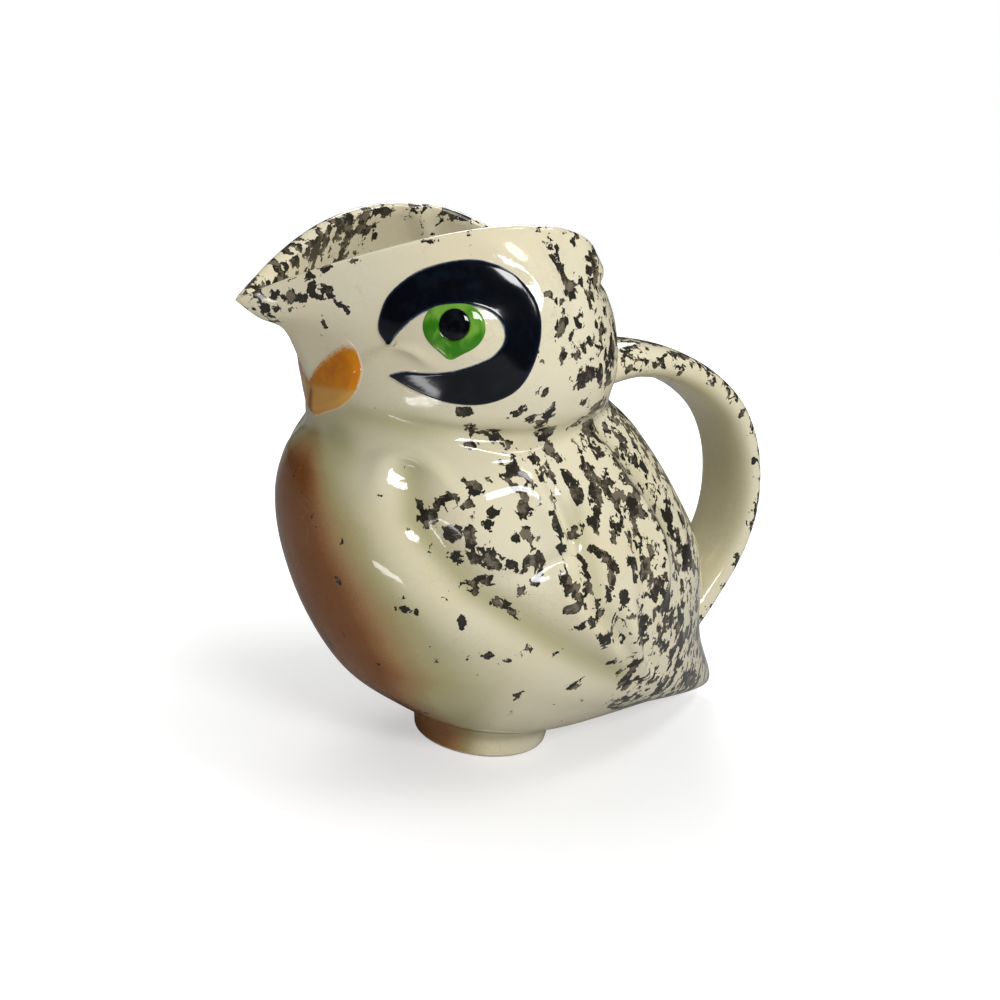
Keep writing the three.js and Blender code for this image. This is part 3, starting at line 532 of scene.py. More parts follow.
def eased(value, low, high, to_low=0.0, to_high=1.0):
    """A smooth step: the value is to_low below low, to_high above high, and eased between them."""
    return added(value.id_data, "MapRange", {
        "Value": value, "From Min": low, "From Max": high, "To Min": to_low, "To Max": to_high},
        interpolation_type="SMOOTHSTEP").outputs["Result"]


def noise(vector, scale, detail=2.0, rough=0.5, output="Fac"):
    """Noise of one size over a vector."""
    return added(vector.id_data, "TexNoise", {
        "Vector": vector, "Scale": scale, "Detail": detail, "Roughness": rough}).outputs[output]


def mixed(share, first, second):
    """Two colours mixed by a share; each is a socket or a plain colour."""
    return added(share.id_data, "Mix", {0: share, 6: first, 7: second}, data_type="RGBA").outputs[2]


def warped(vector, scale, reach, detail=2.0):
    """A vector pushed about by coloured noise of some size, by up to about half the reach."""
    colours = noise(vector, scale, detail, 0.5, "Color")
    centred = added(vector.id_data, "VectorMath", {
        0: colours, 1: (reach,) * 3, 2: (-reach / 2,) * 3}, operation="MULTIPLY_ADD").outputs[0]
    return added(vector.id_data, "VectorMath", {0: vector, 1: centred}, operation="ADD").outputs[0]


def group_of(name, inputs, outputs):
    """A shader group, what its inputs give and what its outputs take."""
    group = bpy.data.node_groups.new(name, "ShaderNodeTree")
    for way, sockets in (("INPUT", inputs), ("OUTPUT", outputs)):
        for label, kind in sockets.items():
            group.interface.new_socket(label, in_out=way, socket_type="NodeSocket" + kind)
    return group, group.nodes.new("NodeGroupInput").outputs, group.nodes.new("NodeGroupOutput").inputs


# Crazing: the fine net of cracks that an old glaze gets. Cells of two sizes, hairline thin, and only
# partly stained, so the net comes and goes.
crazing, craze_in, craze_out = group_of("crazed_glaze", {"Vector": "Vector"}, {"Lines": "Float"})
craze_place = warped(craze_in["Vector"], 260, 0.0016)
craze_lines = []
for craze_scale, craze_width in ((330, 0.035), (640, 0.03)):
    cells = added(crazing, "TexVoronoi", {"Vector": craze_place, "Scale": craze_scale},
                  feature="DISTANCE_TO_EDGE")
    craze_lines.append(eased(cells.outputs["Distance"], 0.0, craze_width, 1.0, 0.0))
craze_stain = eased(noise(craze_in["Vector"], 60, 3), 0.42, 0.68, 0.15, 1.0)
craze_both = sums("MAXIMUM", craze_lines[0], scaled(craze_lines[1], 0.5))
feed(scaled(craze_both, craze_stain), craze_out["Lines"])

# Sponged marks: a torn sponge with thinned brown-black colour, pressed and dragged a little, down and back
# over the wings and up and back over the head and the tail. The marks are torn flakes; a flake has a dark
# edge where the colour ran to it and a thinner, streaky middle, and some flakes are dark all over.
sponging, sponge_in, sponge_out = group_of(
    "sponged_marks", {"Vector": "Vector", "Inside": "Float"}, {"Cover": "Float", "Depth": "Float"})
sponge_high = added(sponging, "SeparateXYZ", {0: sponge_in["Vector"]}).outputs[2]
drag_up = sums("MAXIMUM", eased(sponge_high, 0.040, 0.048, 1.0, 0.0), eased(sponge_high, 0.100, 0.106))
sponge_torn = warped(sponge_in["Vector"], 520, 0.0028, 3.0)
drags = []
for drag_rise, drag_length in ((32, 1.7), (-38, 1.25)):
    drag = added(sponging, "Mapping", {
        "Vector": sponge_torn, "Rotation": (math.radians(drag_rise), 0, 0), "Scale": (1, 1, drag_length)},
        vector_type="TEXTURE").outputs[0]
    flakes = added(sponging, "TexVoronoi", {"Vector": drag, "Scale": 470})
    flake_parts = added(sponging, "SeparateColor", {0: flakes.outputs["Color"]}).outputs
    drags.append((flake_parts[0], flake_parts[1], noise(drag, 760, 2.0, 0.6)))
drag_down = sums("SUBTRACT", 1.0, drag_up)
flake_cover, flake_depth, flake_streak = (
    scaled(upward, drag_up, scaled(downward, drag_down)) for downward, upward in zip(*drags))
level = scaled(noise(sponge_torn, 190, 3.0, 0.55), 3.6, scaled(sponge_in["Inside"], 0.8, -2.89))
level = sums("ADD", flake_streak, scaled(flake_cover, 1.1, level))
cover = eased(level, -0.03, 0.06)
edge = scaled(cover, eased(level, 0.08, 0.26, 1.0, 0.0))
depth = scaled(flake_depth, 0.75, scaled(noise(sponge_torn, 300, 2.0), 1.5, -1.17))
depth = scaled(edge, 0.4, scaled(flake_streak, 0.9, depth), clamp=True)
feed(cover, sponge_out["Cover"])
feed(depth, sponge_out["Depth"])

# The ground: cream glaze, warmer in places, greenish where the glaze pools and where painted shade lies in
# the hollows and creases, and brown where it was airbrushed, through green and orange at the blush's speckled
# edge. Uneven is how far that edge drifts, and the brown begins at one strength of the blush and is full at
# another.
cream = (0.83, 0.77, 0.575)
cream_warm = (0.83, 0.745, 0.52)
# The pool colour: glaze pooled thick, and painted shade in the hollows, the creases and under the chin.
pool_and_shade_green = (0.41, 0.385, 0.185)
blush_edge = (0.45, 0.385, 0.185)
blush_orange = (0.40, 0.205, 0.085)
blush_brown = (0.23, 0.080, 0.020)
stain_colour = (0.40, 0.33, 0.20)
grounding, ground_in, ground_out = group_of("cream_ground", {
    "Vector": "Vector", "Pool": "Float", "Blush": "Float", "Uneven": "Float", "Begins": "Float",
    "Full": "Float"}, {"Color": "Color"})
drift = noise(ground_in["Vector"], 35, 3)
ground = mixed(eased(drift, 0.35, 0.7), cream, cream_warm)
ground = mixed(ground_in["Pool"], ground, pool_and_shade_green)
blush = scaled(noise(ground_in["Vector"], 2600, 2, 0.6), 0.24, sums("ADD", ground_in["Blush"], -0.12))
blush = scaled(sums("ADD", drift, -0.5), ground_in["Uneven"], blush)
for low, high, colour in ((0.05, 0.5, blush_edge), (0.3, 0.85, blush_orange),
                          (ground_in["Begins"], ground_in["Full"], blush_brown)):
    ground = mixed(eased(blush, low, high), ground, colour)
feed(ground, ground_out["Color"])


def surface_of(name, roughness, coat_roughness=0.04):
    """A material with glossy glaze on top, its shader's inputs and its object coordinates."""
    material = bpy.data.materials.new(name)
    material.use_nodes = True
    entries = material.node_tree.nodes["Principled BSDF"].inputs
    for label, value in {"Roughness": roughness, "IOR": 1.5, "Specular IOR Level": 0.0, "Coat Weight": 1.0,
                         "Coat Roughness": coat_roughness, "Coat IOR": 1.45}.items():
        entries[label].default_value = value
    return material, entries, material.node_tree.nodes.new("ShaderNodeTexCoord").outputs["Object"]


def painted(material, name):
    """A number that the piece carries at each point."""
    return added(material.node_tree, "Attribute", {}, attribute_name=name).outputs["Fac"]


def grouped(group, **inputs):
    """What a shader group gives, placed in the material that its inputs come from."""
    return added(inputs["Vector"].id_data, "Group", inputs, node_tree=group).outputs


def bumped(entries, height, distance, strength):
    """A bump of some height in metres on the shader's normals."""
    bump = added(height.id_data, "Bump", {"Height": height, "Distance": distance, "Strength": strength})
    feed(bump.outputs["Normal"], entries["Normal"])
    feed(bump.outputs["Normal"], entries["Coat Normal"])


# The sponged glaze of the body, the wings and the handle: the cream ground with its pooled glaze and painted
# shade, crazed, with the marks in it.
thin_colour = (0.17, 0.142, 0.10)
mid_colour = (0.030, 0.023, 0.0175)
dark_colour = (0.004, 0.0034, 0.003)
glaze, glaze_entries, glaze_place = surface_of("sponged_cream_glaze", 0.3)
ground = grouped(grounding, Vector=glaze_place, Pool=scaled(painted(glaze, "pool_and_shade"), 0.8),
                 Blush=painted(glaze, "blush"), Uneven=0.3, Begins=0.6, Full=1.08)["Color"]
craze = grouped(crazing, Vector=glaze_place)["Lines"]
ground = mixed(scaled(craze, 0.2), ground, stain_colour)
marks = grouped(sponging, Vector=glaze_place, Inside=painted(glaze, "sponge"))
mark_colour = mixed(eased(marks["Depth"], 0.0, 0.42), thin_colour, mid_colour)
mark_colour = mixed(eased(marks["Depth"], 0.32, 0.62), mark_colour, dark_colour)
feed(mixed(scaled(marks["Cover"], 0.97), ground, mark_colour), glaze_entries["Base Color"])
bumped(glaze_entries, scaled(craze, -0.05, noise(glaze_place, 90, 2)), 0.0004, 0.35)

body.data.materials.append(glaze)
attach(body, "root")
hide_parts("body_shell")


# The foot: a low ring that was turned with the body, flared into it, with the glaze wiped off the edge
# that stands on the table.
foot_radius = 20.0
foot_recess_radius = 14.5
foot_recess_depth = 4.0
foot_edge = 0.9
foot_bend = 1.2
foot_draft = 0.3
foot_waist_flare = 0.6
foot_waist_share = 0.45
foot_shoulder_flare = 1.6
foot_shoulder_share = 0.76
foot_lap = 0.9
foot_lap_rise = 0.3
foot_top_inset = 1.5
foot_top_rise = 1.2
foot_pole_radius = 0.3
foot_turn_count = 160


def rounded_profile(corners, steps=6):
    """A profile through corners of radius, height and rounding: each corner is a curve between the
    points that lie its rounding before and after it."""
    corners = np.array(corners, float)
    share = np.linspace(0, 1, steps)[:, None]
    runs = [corners[0:1, :2]]
    for before, corner, after in zip(corners[:-2], corners[1:-1], corners[2:]):
        back = before[:2] - corner[:2]
        ahead = after[:2] - corner[:2]
        start = corner[:2] + back / np.linalg.norm(back) * corner[2]
        end = corner[:2] + ahead / np.linalg.norm(ahead) * corner[2]
        runs.append((1 - share) ** 2 * start + 2 * share * (1 - share) * corner[:2] + share ** 2 * end)
    runs.append(corners[-1:, :2])
    return np.vstack(runs)


foot_profile = rounded_profile([
    [foot_pole_radius, foot_recess_depth, 0], [foot_recess_radius, foot_recess_depth, foot_bend],
    [foot_recess_radius + foot_draft, 0, foot_edge], [foot_radius, 0, foot_edge],
    [foot_radius + foot_waist_flare, foot_height * foot_waist_share, 1.6],
    [foot_radius + foot_shoulder_flare, foot_height * foot_shoulder_share, foot_bend],
    [foot_top_radius + foot_lap, foot_height + foot_lap_rise, 0.5],
    [foot_top_radius - foot_top_inset, foot_height + foot_top_rise, 0.4],
    [foot_pole_radius, foot_height + foot_top_rise, 0],
])
foot_turns = round_turns(foot_turn_count)
foot_loops = np.stack([
    np.outer(foot_profile[:, 0], np.sin(foot_turns)), -np.outer(foot_profile[:, 0], np.cos(foot_turns)),
    np.outer(foot_profile[:, 1], np.ones(foot_turn_count))], -1)
# The foot's pool paint is a band of pooled glaze and painted shade a little below its top.
foot = closed_skin("pitcher_foot", foot_loops, {
    "blush": blush_on_body(foot_loops),
    "pool_and_shade": 0.3 * bell(foot_loops[..., 2] - 7, 2),
    "bare": ramp(1.0 - foot_loops[..., 2], 0.6),
})
bare_clay = (0.62, 0.53, 0.40)
foot_glaze, foot_entries, foot_place = surface_of("wiped_foot_glaze", 0.3)
foot_ground = grouped(grounding, Vector=foot_place, Pool=painted(foot_glaze, "pool_and_shade"),
                      Blush=painted(foot_glaze, "blush"), Uneven=0.0, Begins=0.75, Full=1.3)["Color"]
foot_craze = grouped(crazing, Vector=foot_place)["Lines"]
foot_ground = mixed(scaled(foot_craze, 0.22), foot_ground, stain_colour)
foot_bare = sums("ADD", painted(foot_glaze, "bare"), -0.3)
foot_bare = eased(scaled(noise(foot_place, 700, 3), 0.6, foot_bare), 0.35, 0.6)
feed(mixed(foot_bare, foot_ground, bare_clay), foot_entries["Base Color"])
feed(eased(foot_bare, 0, 1, 1.0, 0.0), foot_entries["Coat Weight"])
feed(eased(foot_bare, 0, 1, 0.3, 0.85), foot_entries["Roughness"])
bumped(foot_entries, noise(foot_place, 1200, 3), 0.0002, 0.3)
foot.data.materials.append(foot_glaze)
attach(foot, "root")
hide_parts("foot_ring")


# The handle: a broad strap pulled and bent while soft, with rounded edges, then luted to the nape and to
# the rump, where its ends are smoothed out over the body.
handle_out = 88.0
handle_high = 116.0
strap_width = 24.0
strap_thickness = 10.0
# Its middle line as shares of how far out and how high, then how much wider and thicker it is there.
strap_shares = np.array([
    [0.04, 0.93, 1.45, 1.4], [0.17, 0.968, 1.3, 1.3], [0.3, 0.99, 1.12, 1.15], [0.42, 0.998, 1, 1.05],
    [0.56, 0.985, 1, 1], [0.725, 0.937, 1, 1], [0.865, 0.858, 1, 1], [0.96, 0.74, 1, 1],
    [0.995, 0.597, 1, 1], [0.96, 0.468, 1, 1], [0.85, 0.34, 1.08, 1.15], [0.72, 0.24, 1.25, 1.35],
    [0.6, 0.19, 1.4, 1.45],
])
# Along this stretch of the line the strap has its own section, and beyond it the ends take over.
strap_stretch = (0.9, 11.1)
strap_count = 200
strap_around = 112
strap_square_share = 0.78
strap_sunk = 0.4
strap_side = round_turns(strap_around)


def strap_sections(places):
    """Sections of the strap square to its middle line: an ellipse with its corners filled out."""
    back, high, wide, thick = np.moveaxis(smooth_rows(strap_shares, places), -1, 0)
    ahead = smooth_rows(strap_shares, places + 0.02)
    run = np.stack([(ahead[:, 0] - back) * handle_out, (ahead[:, 1] - high) * handle_high], -1)
    run /= np.linalg.norm(run, axis=-1, keepdims=True)
    filled = [np.sign(value) * np.abs(value) ** strap_square_share
              for value in (np.cos(strap_side), np.sin(strap_side))]
    outward = np.outer(thick * strap_thickness / 2, filled[1])
    return np.stack([
        -np.outer(wide * strap_width / 2, filled[0]),
        back[:, None] * handle_out - run[:, 1:2] * outward,
        high[:, None] * handle_high + run[:, 0:1] * outward], -1)


def meet_body(points, direction, at):
    """Where lines from points in a direction meet the back of the body and sink into it: the ring and turn
    that look the same along that direction."""
    sideways = np.array([1.0, 0.0, 0.0])
    plane = np.stack([sideways, np.cross(direction, sideways)])
    return on_body(*find_on_body(plane, points @ plane.T, at, math.pi), -strap_sunk)


strap_loops = strap_sections(np.linspace(*strap_stretch, strap_count))
# Each end runs straight to the body from a section near it, and the last stretch swells on to it like a
# fillet. The section is counted from its own end, and the ring is the body's that the end is near.
fillet_count = 26
fillet_grow = 0.32
for is_rump, root, near_ring in ((False, 14, 9.2), (True, 16, 4.3)):
    near = strap_loops[::-1] if is_rump else strap_loops
    section = near[root]
    centre = section.mean(0)
    direction = centre - near[root + 3].mean(0)
    direction /= np.linalg.norm(direction)
    seat = meet_body(centre + (section - centre) * (1 + fillet_grow), direction, near_ring)
    share = np.linspace(0, 1, fillet_count)[:, None, None]
    straight = centre + (section - centre) * (1 + fillet_grow * share ** 3)
    fillet = straight + share * ((seat - straight) @ direction)[..., None] * direction
    near = np.concatenate([fillet[::-1], near[root + 1:]])
    strap_loops = near[::-1] if is_rump else near
# The strap is sponged on its outside, most near the nape, and its inside, which faces the body, is painted
# greenish as shade with the pool colour.
strap_outer = np.sin(strap_side)
strap_share = np.linspace(0, 1, len(strap_loops))[:, None]
strap_dense = np.interp(
    strap_share, [0, 0.08, 0.14, 0.4, 0.5, 0.9, 1.0], [-0.9, -0.5, 0.1, 0.1, 0.0, 0.0, -0.2])
handle = closed_skin("pitcher_handle", strap_loops, {
    "sponge": strap_dense - 1.4 * np.clip(0.35 - strap_outer, 0, 1),
    "blush": np.zeros(strap_loops.shape[:2]),
    "pool_and_shade": np.clip(-0.7 * strap_outer, 0, 0.5) * np.interp(strap_share, [0, 0.2, 0.8, 1], [0.5, 1, 1, 0.6]),
})
handle.data.materials.append(glaze)
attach(handle, "root")
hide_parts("handle")


# The beak: a low swelling on the face with two broad cheeks that meet in a ridge. It was brushed orange
# over its upper half and thinner below, and the bridge above its notch stays cream.
beak_half_width = 18.9
beak_height = 22.5
beak_middle = 109.0
beak_shares = np.array([
    [0.05, -1], [0.25, -0.87], [0.56, -0.61], [0.79, -0.25], [0.93, 0.1], [1, 0.45], [0.97, 0.85],
    [0.86, 0.98], [0.6, 0.68], [0.38, 0.41], [0.18, 0.12],
])
beak_notch_share = -0.1
beak_centre = np.array([0.0, 103.2])
beak_rings = 60
beak_around = 240


def filled_outline(corners, centre, around, rings):
    """A smooth closed curve through corners, copied inwards to its centre, and how far inside it each
    place is."""
    corners = np.asarray(corners)
    innermost = 0.02
    wrapped = np.vstack([corners[-1:], corners, corners[:2]])
    edge = smooth_rows(wrapped, np.linspace(1, len(corners) + 1, around, endpoint=False))
    places = centre + np.linspace(innermost, 1, rings)[:, None, None] * (edge - centre)
    return places, line_distance(np.vstack([edge, edge[:1]]), places)


beak_other_side = beak_shares[::-1] * [-1, 1]
beak_outline = np.vstack([beak_shares, [[0, beak_notch_share]], beak_other_side])
beak_outline = beak_outline * [beak_half_width, beak_height / 2] + [0, beak_middle]
beak_seen, beak_inset = filled_outline(beak_outline, beak_centre, beak_around, beak_rings)
front_plane = np.array([[1.0, 0, 0], [0, 0, 1.0]])
beak_ring = 9.2
beak_turn_rate = 0.03
beak_at, beak_angle = find_on_body(front_plane, beak_seen, beak_ring, beak_seen[..., 0] * beak_turn_rate)
beak_rise = 1.2
beak_edge_width = 1.1
beak_ridge_rise = 0.5
beak_ridge_width = 3.6
beak_lift = 0.03
beak_edge_reach = 2
beak_edge_sunk = 0.4
beak_depth = 0.6
beak_brow_width = 6
beak_brow_slope = 0.83
beak_orange_high = 106.3
# The brow's line on the face: above it the swelling fades, and the orange stops.
brow_across = [-15.5, -7.2, 0, 7.2, 15.5]
brow_high = [116.5, 111.5, 108, 113.6, 119]
beak_brow = beak_brow_slope * (np.interp(beak_seen[..., 0], brow_across, brow_high) - beak_seen[..., 1])
beak_soft = ramp(beak_brow, beak_brow_width)
beak_swell = beak_rise * (1 - bell(beak_inset, beak_edge_width)) * beak_soft ** 2 * (3 - 2 * beak_soft)
beak_taper = ramp(beak_inset, beak_edge_reach)
beak_ridge = beak_ridge_rise * bell(beak_seen[..., 0], beak_ridge_width) * beak_taper
beak_face = on_body(beak_at, beak_angle, beak_swell + beak_ridge + beak_lift)
beak_back = on_body(beak_at, beak_angle, -beak_edge_sunk - beak_depth * beak_taper)[::-1]
beak_paints = {
    "inset": beak_inset,
    "brow": beak_brow,
    "cheek": beak_seen[..., 1] - beak_orange_high - 0.06 * np.abs(beak_seen[..., 0]),
    "streak": bell(line_distance([[0.6, 99.5], [1.2, 105]], beak_seen), 0.9),
}
beak = closed_skin("pitcher_beak", np.concatenate([beak_face, beak_back]), {
    label: np.concatenate([values, values[::-1]]) for label, values in beak_paints.items()})
beak_orange = (0.68, 0.26, 0.002)
beak_deep = (0.62, 0.15, 0.0005)
beak_tan = (0.68, 0.355, 0.08)
beak_rose = (0.66, 0.32, 0.10)
beak_brown = (0.16, 0.045, 0.022)
beak_glaze, beak_entries, beak_place = surface_of("orange_beak_glaze", 0.28)
beak_mottle = noise(warped(beak_place, 300, 0.003), 320, 3, 0.6)
grain_shift = scaled(noise(beak_place, 2400, 2, 0.6), 2.4, -1.2)
strong = mixed(eased(beak_mottle, 0.3, 0.8), beak_orange, beak_deep)
weak = mixed(eased(scaled(beak_mottle, 6.0, painted(beak_glaze, "cheek")), -6, 0), beak_rose, beak_tan)
upper = eased(sums("ADD", painted(beak_glaze, "cheek"), grain_shift), -0.7, 1.3)
beak_colour = mixed(upper, weak, strong)
beak_colour = mixed(scaled(painted(beak_glaze, "streak"), 0.75), beak_colour, beak_brown)
brow_share = eased(sums("ADD", painted(beak_glaze, "brow"), grain_shift), -0.3, 1.3)
edge_share = eased(scaled(beak_mottle, 0.8, painted(beak_glaze, "inset")), 0.25, 0.95)
feed(mixed(scaled(brow_share, edge_share), cream, beak_colour), beak_entries["Base Color"])
bumped(beak_entries, noise(beak_place, 300, 2), 0.0003, 0.3)
beak.data.materials.append(beak_glaze)
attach(beak, "root")
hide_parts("beak")


# The wings: raised in the mould's two halves, each a rounded shoulder in front and a fold of feathers
# behind it, and each edge runs out into the hollow round it.
wing_shares = np.array([
    [-0.88, 0.95], [-0.98, 0.88], [-0.97, 0.79], [-0.82, 0.69], [-0.58, 0.59], [-0.23, 0.475],
    [0.15, 0.355], [0.5, 0.265], [0.78, 0.245], [0.66, 0.34], [0.5, 0.44], [0.38, 0.56], [0.33, 0.7],
    [0.25, 0.83], [0.08, 0.94], [-0.27, 0.995], [-0.65, 1.0],
])
wing_middle = np.array([-10.0, 70.0])
wing_rings = 120
wing_around = 380
# The side against the body needs only every twelfth ring.
wing_back_step = 12
wing_rise = 2.0
wing_edge_width = 6.5
wing_edge_sunk = 0.05
wing_back_sunk = 0.6
wing_back_depth = 0.8
wing_back_reach = 3
owl_sides = (("left", False), ("right", True))
wing_outline = wing_shares * [wing_reach, wing_top]
wing_seen, wing_inset = filled_outline(wing_outline, wing_middle, wing_around, wing_rings)
side_plane = np.array([[0, 1.0, 0], [0, 0, 1.0]])
wing_ring = 5.5
wing_turn = math.radians(88)
wing_at, wing_angle = find_on_body(side_plane, wing_seen, wing_ring, wing_turn)
wing_swell = wing_rise * (1 - bell(wing_inset, wing_edge_width)) ** 2 - wing_edge_sunk
wing_face = on_body(wing_at, wing_angle, wing_swell)
wing_under = -wing_back_sunk - wing_back_depth * ramp(wing_inset, wing_back_reach)
wing_back = on_body(wing_at, wing_angle, wing_under)[::-wing_back_step]
wing_loops = np.concatenate([wing_face, wing_back])
# Each wing carries the body's sponging, blush, and pooled glaze with painted shade.
for side_name, is_right in owl_sides:
    wing_seen_here = wing_loops * ([-1, 1, 1] if is_right else [1, 1, 1])
    wing = closed_skin(side_name + "_wing_relief", wing_loops, {
        "sponge": sponge_on_body(wing_seen_here), "blush": blush_on_body(wing_loops),
        "pool_and_shade": pool_and_shade_on_body(wing_loops)}, mirror=is_right)
    wing.data.materials.append(glaze)
    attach(wing, "root")
    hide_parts(side_name + "_wing")


# The eye patches: thick blue-black enamel laid on with a full brush, in a hook that runs over the eye,
# round behind it and back under it. Its edge has run thin and blue.
patch_length = 39.0
patch_height = 35.0
patch_outer = np.array([
    [-0.4, -0.19], [-0.46, -0.1], [-0.45, 0.05], [-0.4, 0.17], [-0.27, 0.31], [-0.1, 0.4], [0.1, 0.44],
    [0.3, 0.38], [0.46, 0.23], [0.53, 0.02], [0.51, -0.22], [0.42, -0.41], [0.24, -0.52], [0.02, -0.54],
    [-0.19, -0.49], [-0.36, -0.42],
])
patch_inner = np.array([
    [-0.37, -0.185], [-0.34, -0.125], [-0.3, -0.065], [-0.23, 0.015], [-0.12, 0.09], [0.02, 0.125],
    [0.15, 0.12], [0.235, 0.082], [0.29, 0.015], [0.302, -0.075], [0.262, -0.155], [0.2, -0.21],
    [0.03, -0.3], [-0.14, -0.345], [-0.27, -0.36], [-0.36, -0.4],
])
patch_along = 200
patch_across = 40
patch_thickness = 0.42
patch_rounding = 0.9
# Every enamel starts a little over the glaze and ends a little under it.
enamel_lift = 0.03
enamel_sunk = -0.3
eye_plane = np.stack([eye_back, [0.0, 0.0, 1.0]])


def on_head(flat, lift):
    """The place on the head that the eye's plane shows at a distance along and up from its middle."""
    at, angle = find_on_body(eye_plane, flat + eye_plane @ eye_middle, eye_ring, eye_around)
    return on_body(at, angle, lift)


patch_places = np.linspace(0, len(patch_outer) - 1, patch_along)
patch_size = [patch_length, patch_height]
inner_rim, outer_rim = (smooth_rows(rim * patch_size, patch_places) for rim in (patch_inner, patch_outer))
patch_share = np.linspace(0, 1, patch_across)
patch_flat = inner_rim[:, None] + (outer_rim - inner_rim)[:, None] * patch_share[:, None]
patch_width = np.linalg.norm(outer_rim - inner_rim, axis=-1)[:, None]
patch_inset = np.minimum(patch_share, 1 - patch_share) * patch_width
patch_round = np.sqrt(np.clip(1 - (1 - ramp(patch_inset, patch_rounding)) ** 2, 0, 1))
patch_top = on_head(patch_flat, patch_thickness * patch_round + enamel_lift)
patch_under = on_head(patch_flat, enamel_sunk)[:, ::-1][:, 1:-1]
patch_loops = np.concatenate([patch_top, patch_under], axis=1)
patch_paint = np.concatenate([patch_inset, np.zeros(patch_under.shape[:2])], axis=1)
patch_colour = (0.0018, 0.0026, 0.005)
patch_blue = (0.010, 0.018, 0.036)
fringe_blue = (0.36, 0.40, 0.42)
patch_enamel, patch_entries, patch_place = surface_of("blue_black_enamel", 0.2, 0.11)
ragged = sums("ADD", painted(patch_enamel, "inset"), -0.25)
ragged = scaled(noise(patch_place, 900, 3), 0.5, ragged)
streaks = noise(warped(patch_place, 150, 0.004), 200, 3, 0.6)
enamel_colour = mixed(eased(streaks, 0.45, 0.75, 0.0, 0.35), patch_colour, patch_blue)
enamel_colour = mixed(eased(ragged, 0.15, 1.0), patch_blue, enamel_colour)
enamel_colour = mixed(eased(ragged, 0.0, 0.3), fringe_blue, enamel_colour)
feed(enamel_colour, patch_entries["Base Color"])
bumped(patch_entries, streaks, 0.0003, 0.1)
for side_name, is_right in owl_sides:
    patch = closed_skin(side_name + "_eye_patch_enamel", patch_loops, {"inset": patch_paint}, mirror=is_right)
    patch.data.materials.append(patch_enamel)
    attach(patch, "root")
    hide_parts(side_name + "_eye_patch")


# The irises: a ring of bright green enamel round each pupil, painted in a few strokes, that ran down in
# a drip at its foot.
iris_half_length = 7.2
iris_half_height = 6.0
iris_lower = 0.6
iris_drip = 1.35
iris_drip_power = 20
iris_taper_share = 0.03
pupil_radius = 3.55
iris_around = 120
iris_rings = 24
iris_thickness = 0.3
pupil_overlap = 0.15
iris_turn = round_turns(iris_around)
iris_downward = np.clip(-np.sin(iris_turn), 0, 1)
iris_edge = np.stack([
    iris_half_length * np.cos(iris_turn) * (1 - iris_taper_share * iris_downward),
    iris_half_height * np.sin(iris_turn) - iris_lower - iris_drip * iris_downward ** iris_drip_power], -1)
iris_hole = (pupil_radius - pupil_overlap) * np.stack([np.cos(iris_turn), np.sin(iris_turn)], -1)
iris_out = np.linspace(0, 1, iris_rings)[:, None] * np.ones(iris_around)
iris_flat = iris_hole + (iris_edge - iris_hole) * iris_out[..., None]
iris_rise = iris_thickness * np.sqrt(np.clip(1 - (2 * iris_out - 1) ** 4, 0, 1))


def enamel_dab(flat, rise):
    """Loops over a dab of enamel and back under it."""
    return np.concatenate([on_head(flat, rise + enamel_lift), on_head(flat, enamel_sunk)[::-1]])


iris_loops = enamel_dab(iris_flat, iris_rise)
iris_paints = {
    label: np.concatenate([values, values[::-1]])
    for label, values in (("ring_share", iris_out), ("fallen", -iris_flat[..., 1] / iris_half_height))}
iris_green = (0.035, 0.21, 0.006)
iris_light = (0.19, 0.42, 0.055)
iris_deep = (0.018, 0.11, 0.006)
iris_enamel, iris_entries, iris_place = surface_of("green_enamel", 0.22)
strokes = noise(warped(iris_place, 160, 0.006), 210, 2, 0.45)
strokes = scaled(painted(iris_enamel, "fallen"), -0.09, strokes)
iris_colour = mixed(eased(strokes, 0.35, 0.7), iris_green, iris_light)
iris_rim = eased(painted(iris_enamel, "ring_share"), 0.0, 0.14, 0.8, 0.0)
feed(mixed(iris_rim, iris_colour, iris_deep), iris_entries["Base Color"])
bumped(iris_entries, strokes, 0.0003, 0.3)
for side_name, is_right in owl_sides:
    iris = closed_skin(side_name + "_iris_enamel", iris_loops, iris_paints, mirror=is_right)
    iris.data.materials.append(iris_enamel)
    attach(iris, "root")
    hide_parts(side_name + "_iris")


# The pupils: a drop of thick black enamel, let fall in the middle of each iris before the last firing, so
# it stands round and glossy a little over the green.
pupil_rings = 20
pupil_around = 72
pupil_thickness = 0.3
pupil_lift = 0.02
pupil_black = (0.0018, 0.002, 0.0025)
pupil_grey = (0.006, 0.008, 0.011)
pupil_turn = round_turns(pupil_around)
pupil_out = np.linspace(0.04, 1, pupil_rings)[:, None]
pupil_flat = pupil_radius * pupil_out[..., None] * np.stack([np.cos(pupil_turn), np.sin(pupil_turn)], -1)
pupil_rise = pupil_thickness * np.sqrt(np.clip(1 - pupil_out ** 2.5, 0, 1))
pupil_loops = enamel_dab(pupil_flat, pupil_rise + pupil_lift)
pupil_enamel, pupil_entries, pupil_place = surface_of("black_enamel", 0.2)
feed(mixed(eased(noise(pupil_place, 600, 3), 0.4, 0.7), pupil_black, pupil_grey), pupil_entries["Base Color"])
for side_name, is_right in owl_sides:
    pupil = closed_skin(side_name + "_pupil_enamel", pupil_loops, mirror=is_right)
    pupil.data.materials.append(pupil_enamel)
    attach(pupil, "root")
    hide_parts(side_name + "_pupil")


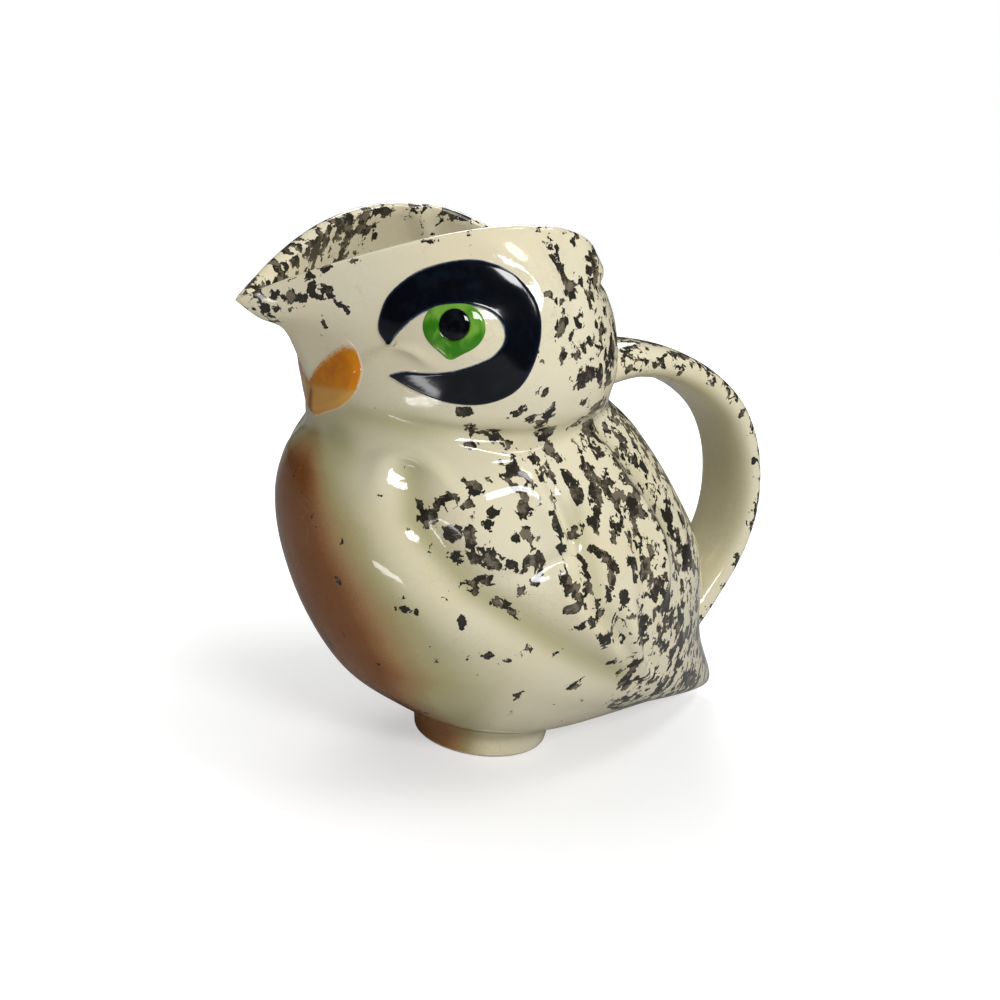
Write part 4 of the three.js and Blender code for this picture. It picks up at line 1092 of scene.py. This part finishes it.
# The table: one plain white sheet. It glows to the camera, most away from the foot, so it looks white and
# keeps only the shadow near the pitcher.
table_half = 4.0
table_mesh = bpy.data.meshes.new("table")
table_mesh.from_pydata([(-table_half, -table_half, 0), (table_half, -table_half, 0),
                        (table_half, table_half, 0), (-table_half, table_half, 0)], [], [(0, 1, 2, 3)])
table = linked("table", table_mesh)
paper = bpy.data.materials.new("white_paper")
paper.use_nodes = True
paper_grey = (0.54, 0.54, 0.54)
paper_mirrored = (0.3, 0.3, 0.3)
paper_entries = paper.node_tree.nodes["Principled BSDF"].inputs
paper_rays = paper.node_tree.nodes.new("ShaderNodeLightPath").outputs
feed(mixed(paper_rays["Is Glossy Ray"], paper_grey, paper_mirrored), paper_entries["Base Color"])
feed(0.9, paper_entries["Roughness"])
feed((1, 1, 1), paper_entries["Emission Color"])
paper_place = paper.node_tree.nodes.new("ShaderNodeTexCoord").outputs["Object"]
paper_away = added(paper.node_tree, "VectorMath", {0: paper_place}, operation="LENGTH").outputs["Value"]
paper_lift = eased(paper_away, 0.03, 0.22, 0.5, 0.97)
feed(scaled(paper_rays["Is Camera Ray"], paper_lift), paper_entries["Emission Strength"])
table.data.materials.append(paper)

# The room: white to the camera, dim to everything else, and dimmest where the glaze mirrors it.
world = bpy.data.worlds.new("white_room")
bpy.context.scene.world = world
world.use_nodes = True
room_entries = world.node_tree.nodes["Background"].inputs
room_rays = world.node_tree.nodes.new("ShaderNodeLightPath").outputs
room_strength = scaled(room_rays["Is Camera Ray"], 0.92, scaled(room_rays["Is Glossy Ray"], -0.05, 0.08))
feed((1, 1, 1), room_entries["Color"])
feed(room_strength, room_entries["Strength"])


def facing(azimuth, elevation):
    """The right, the top and the back of a lamp or camera that faces the pitcher from an azimuth, 0 in
    front of the owl and a quarter turn at its left, and an elevation."""
    around, up = math.radians(azimuth), math.radians(elevation)
    out = np.array([math.sin(around) * math.cos(up), -math.cos(around) * math.cos(up), math.sin(up)])
    side = np.array([math.cos(around), math.sin(around), 0.0])
    return side, np.cross(out, side), out


def placed(name, data, axes, place):
    """A lamp or camera with its axes turned and its place set."""
    item = linked(name, data)
    item.matrix_world = Matrix([[*row, at] for row, at in zip(np.transpose(axes), place)] + [[0, 0, 0, 1]])
    return item


# The light: a window at the owl's left, a high one at its left rear, one at its right rear, a pale ceiling
# over its right front, and a small white card low in front. A row is a name, azimuth and elevation in
# degrees, metres away from the pitcher's middle, width and height in metres, and watts.
lamp_middle = np.array([0, 0, 0.08])
for name, azimuth, elevation, away, width, height, watts in (
        ("window_left", 88, 31, 0.9, 0.33, 0.19, 4.6),
        ("high_window", 140, 60, 1.1, 0.44, 0.26, 3.4),
        ("window_back", 240, 35, 1.1, 0.5, 0.4, 3.6),
        ("pale_ceiling", 322, 62, 1.2, 0.7, 0.5, 2.8),
        ("low_card", 29, -22, 0.205, 0.06, 0.02, 0.04)):
    lamp = bpy.data.lights.new(name, "AREA")
    lamp.shape = "RECTANGLE"
    lamp.size, lamp.size_y, lamp.energy = width, height, watts
    axes = facing(azimuth, elevation)
    placed(name, lamp, axes, lamp_middle + axes[2] * away)

# The camera: close to the owl's left front, a little above it and tilted, so the pitcher seems to lean.
view_away = 354.0
view_target = np.array([0.0, -3.41 + FOOT_OFFSET_Y, 72.6])
view_roll = math.radians(7.5)
view_focal_share = 1.2213
view_side, view_top, view_out = facing(55.5, 14.8)
view_axes = [view_side * math.cos(view_roll) + view_top * math.sin(view_roll),
             view_top * math.cos(view_roll) - view_side * math.sin(view_roll), view_out]
camera_data = bpy.data.cameras.new("camera")
camera_data.sensor_width = 36.0
camera_data.lens = 36.0 * view_focal_share
camera_data.clip_start = 0.01
camera = placed("camera", camera_data, view_axes, (view_target + view_out * view_away) * METRES)
bpy.context.scene.camera = camera
bpy.context.scene.view_settings.view_transform = "Standard"

bpy.context.view_layer.update()
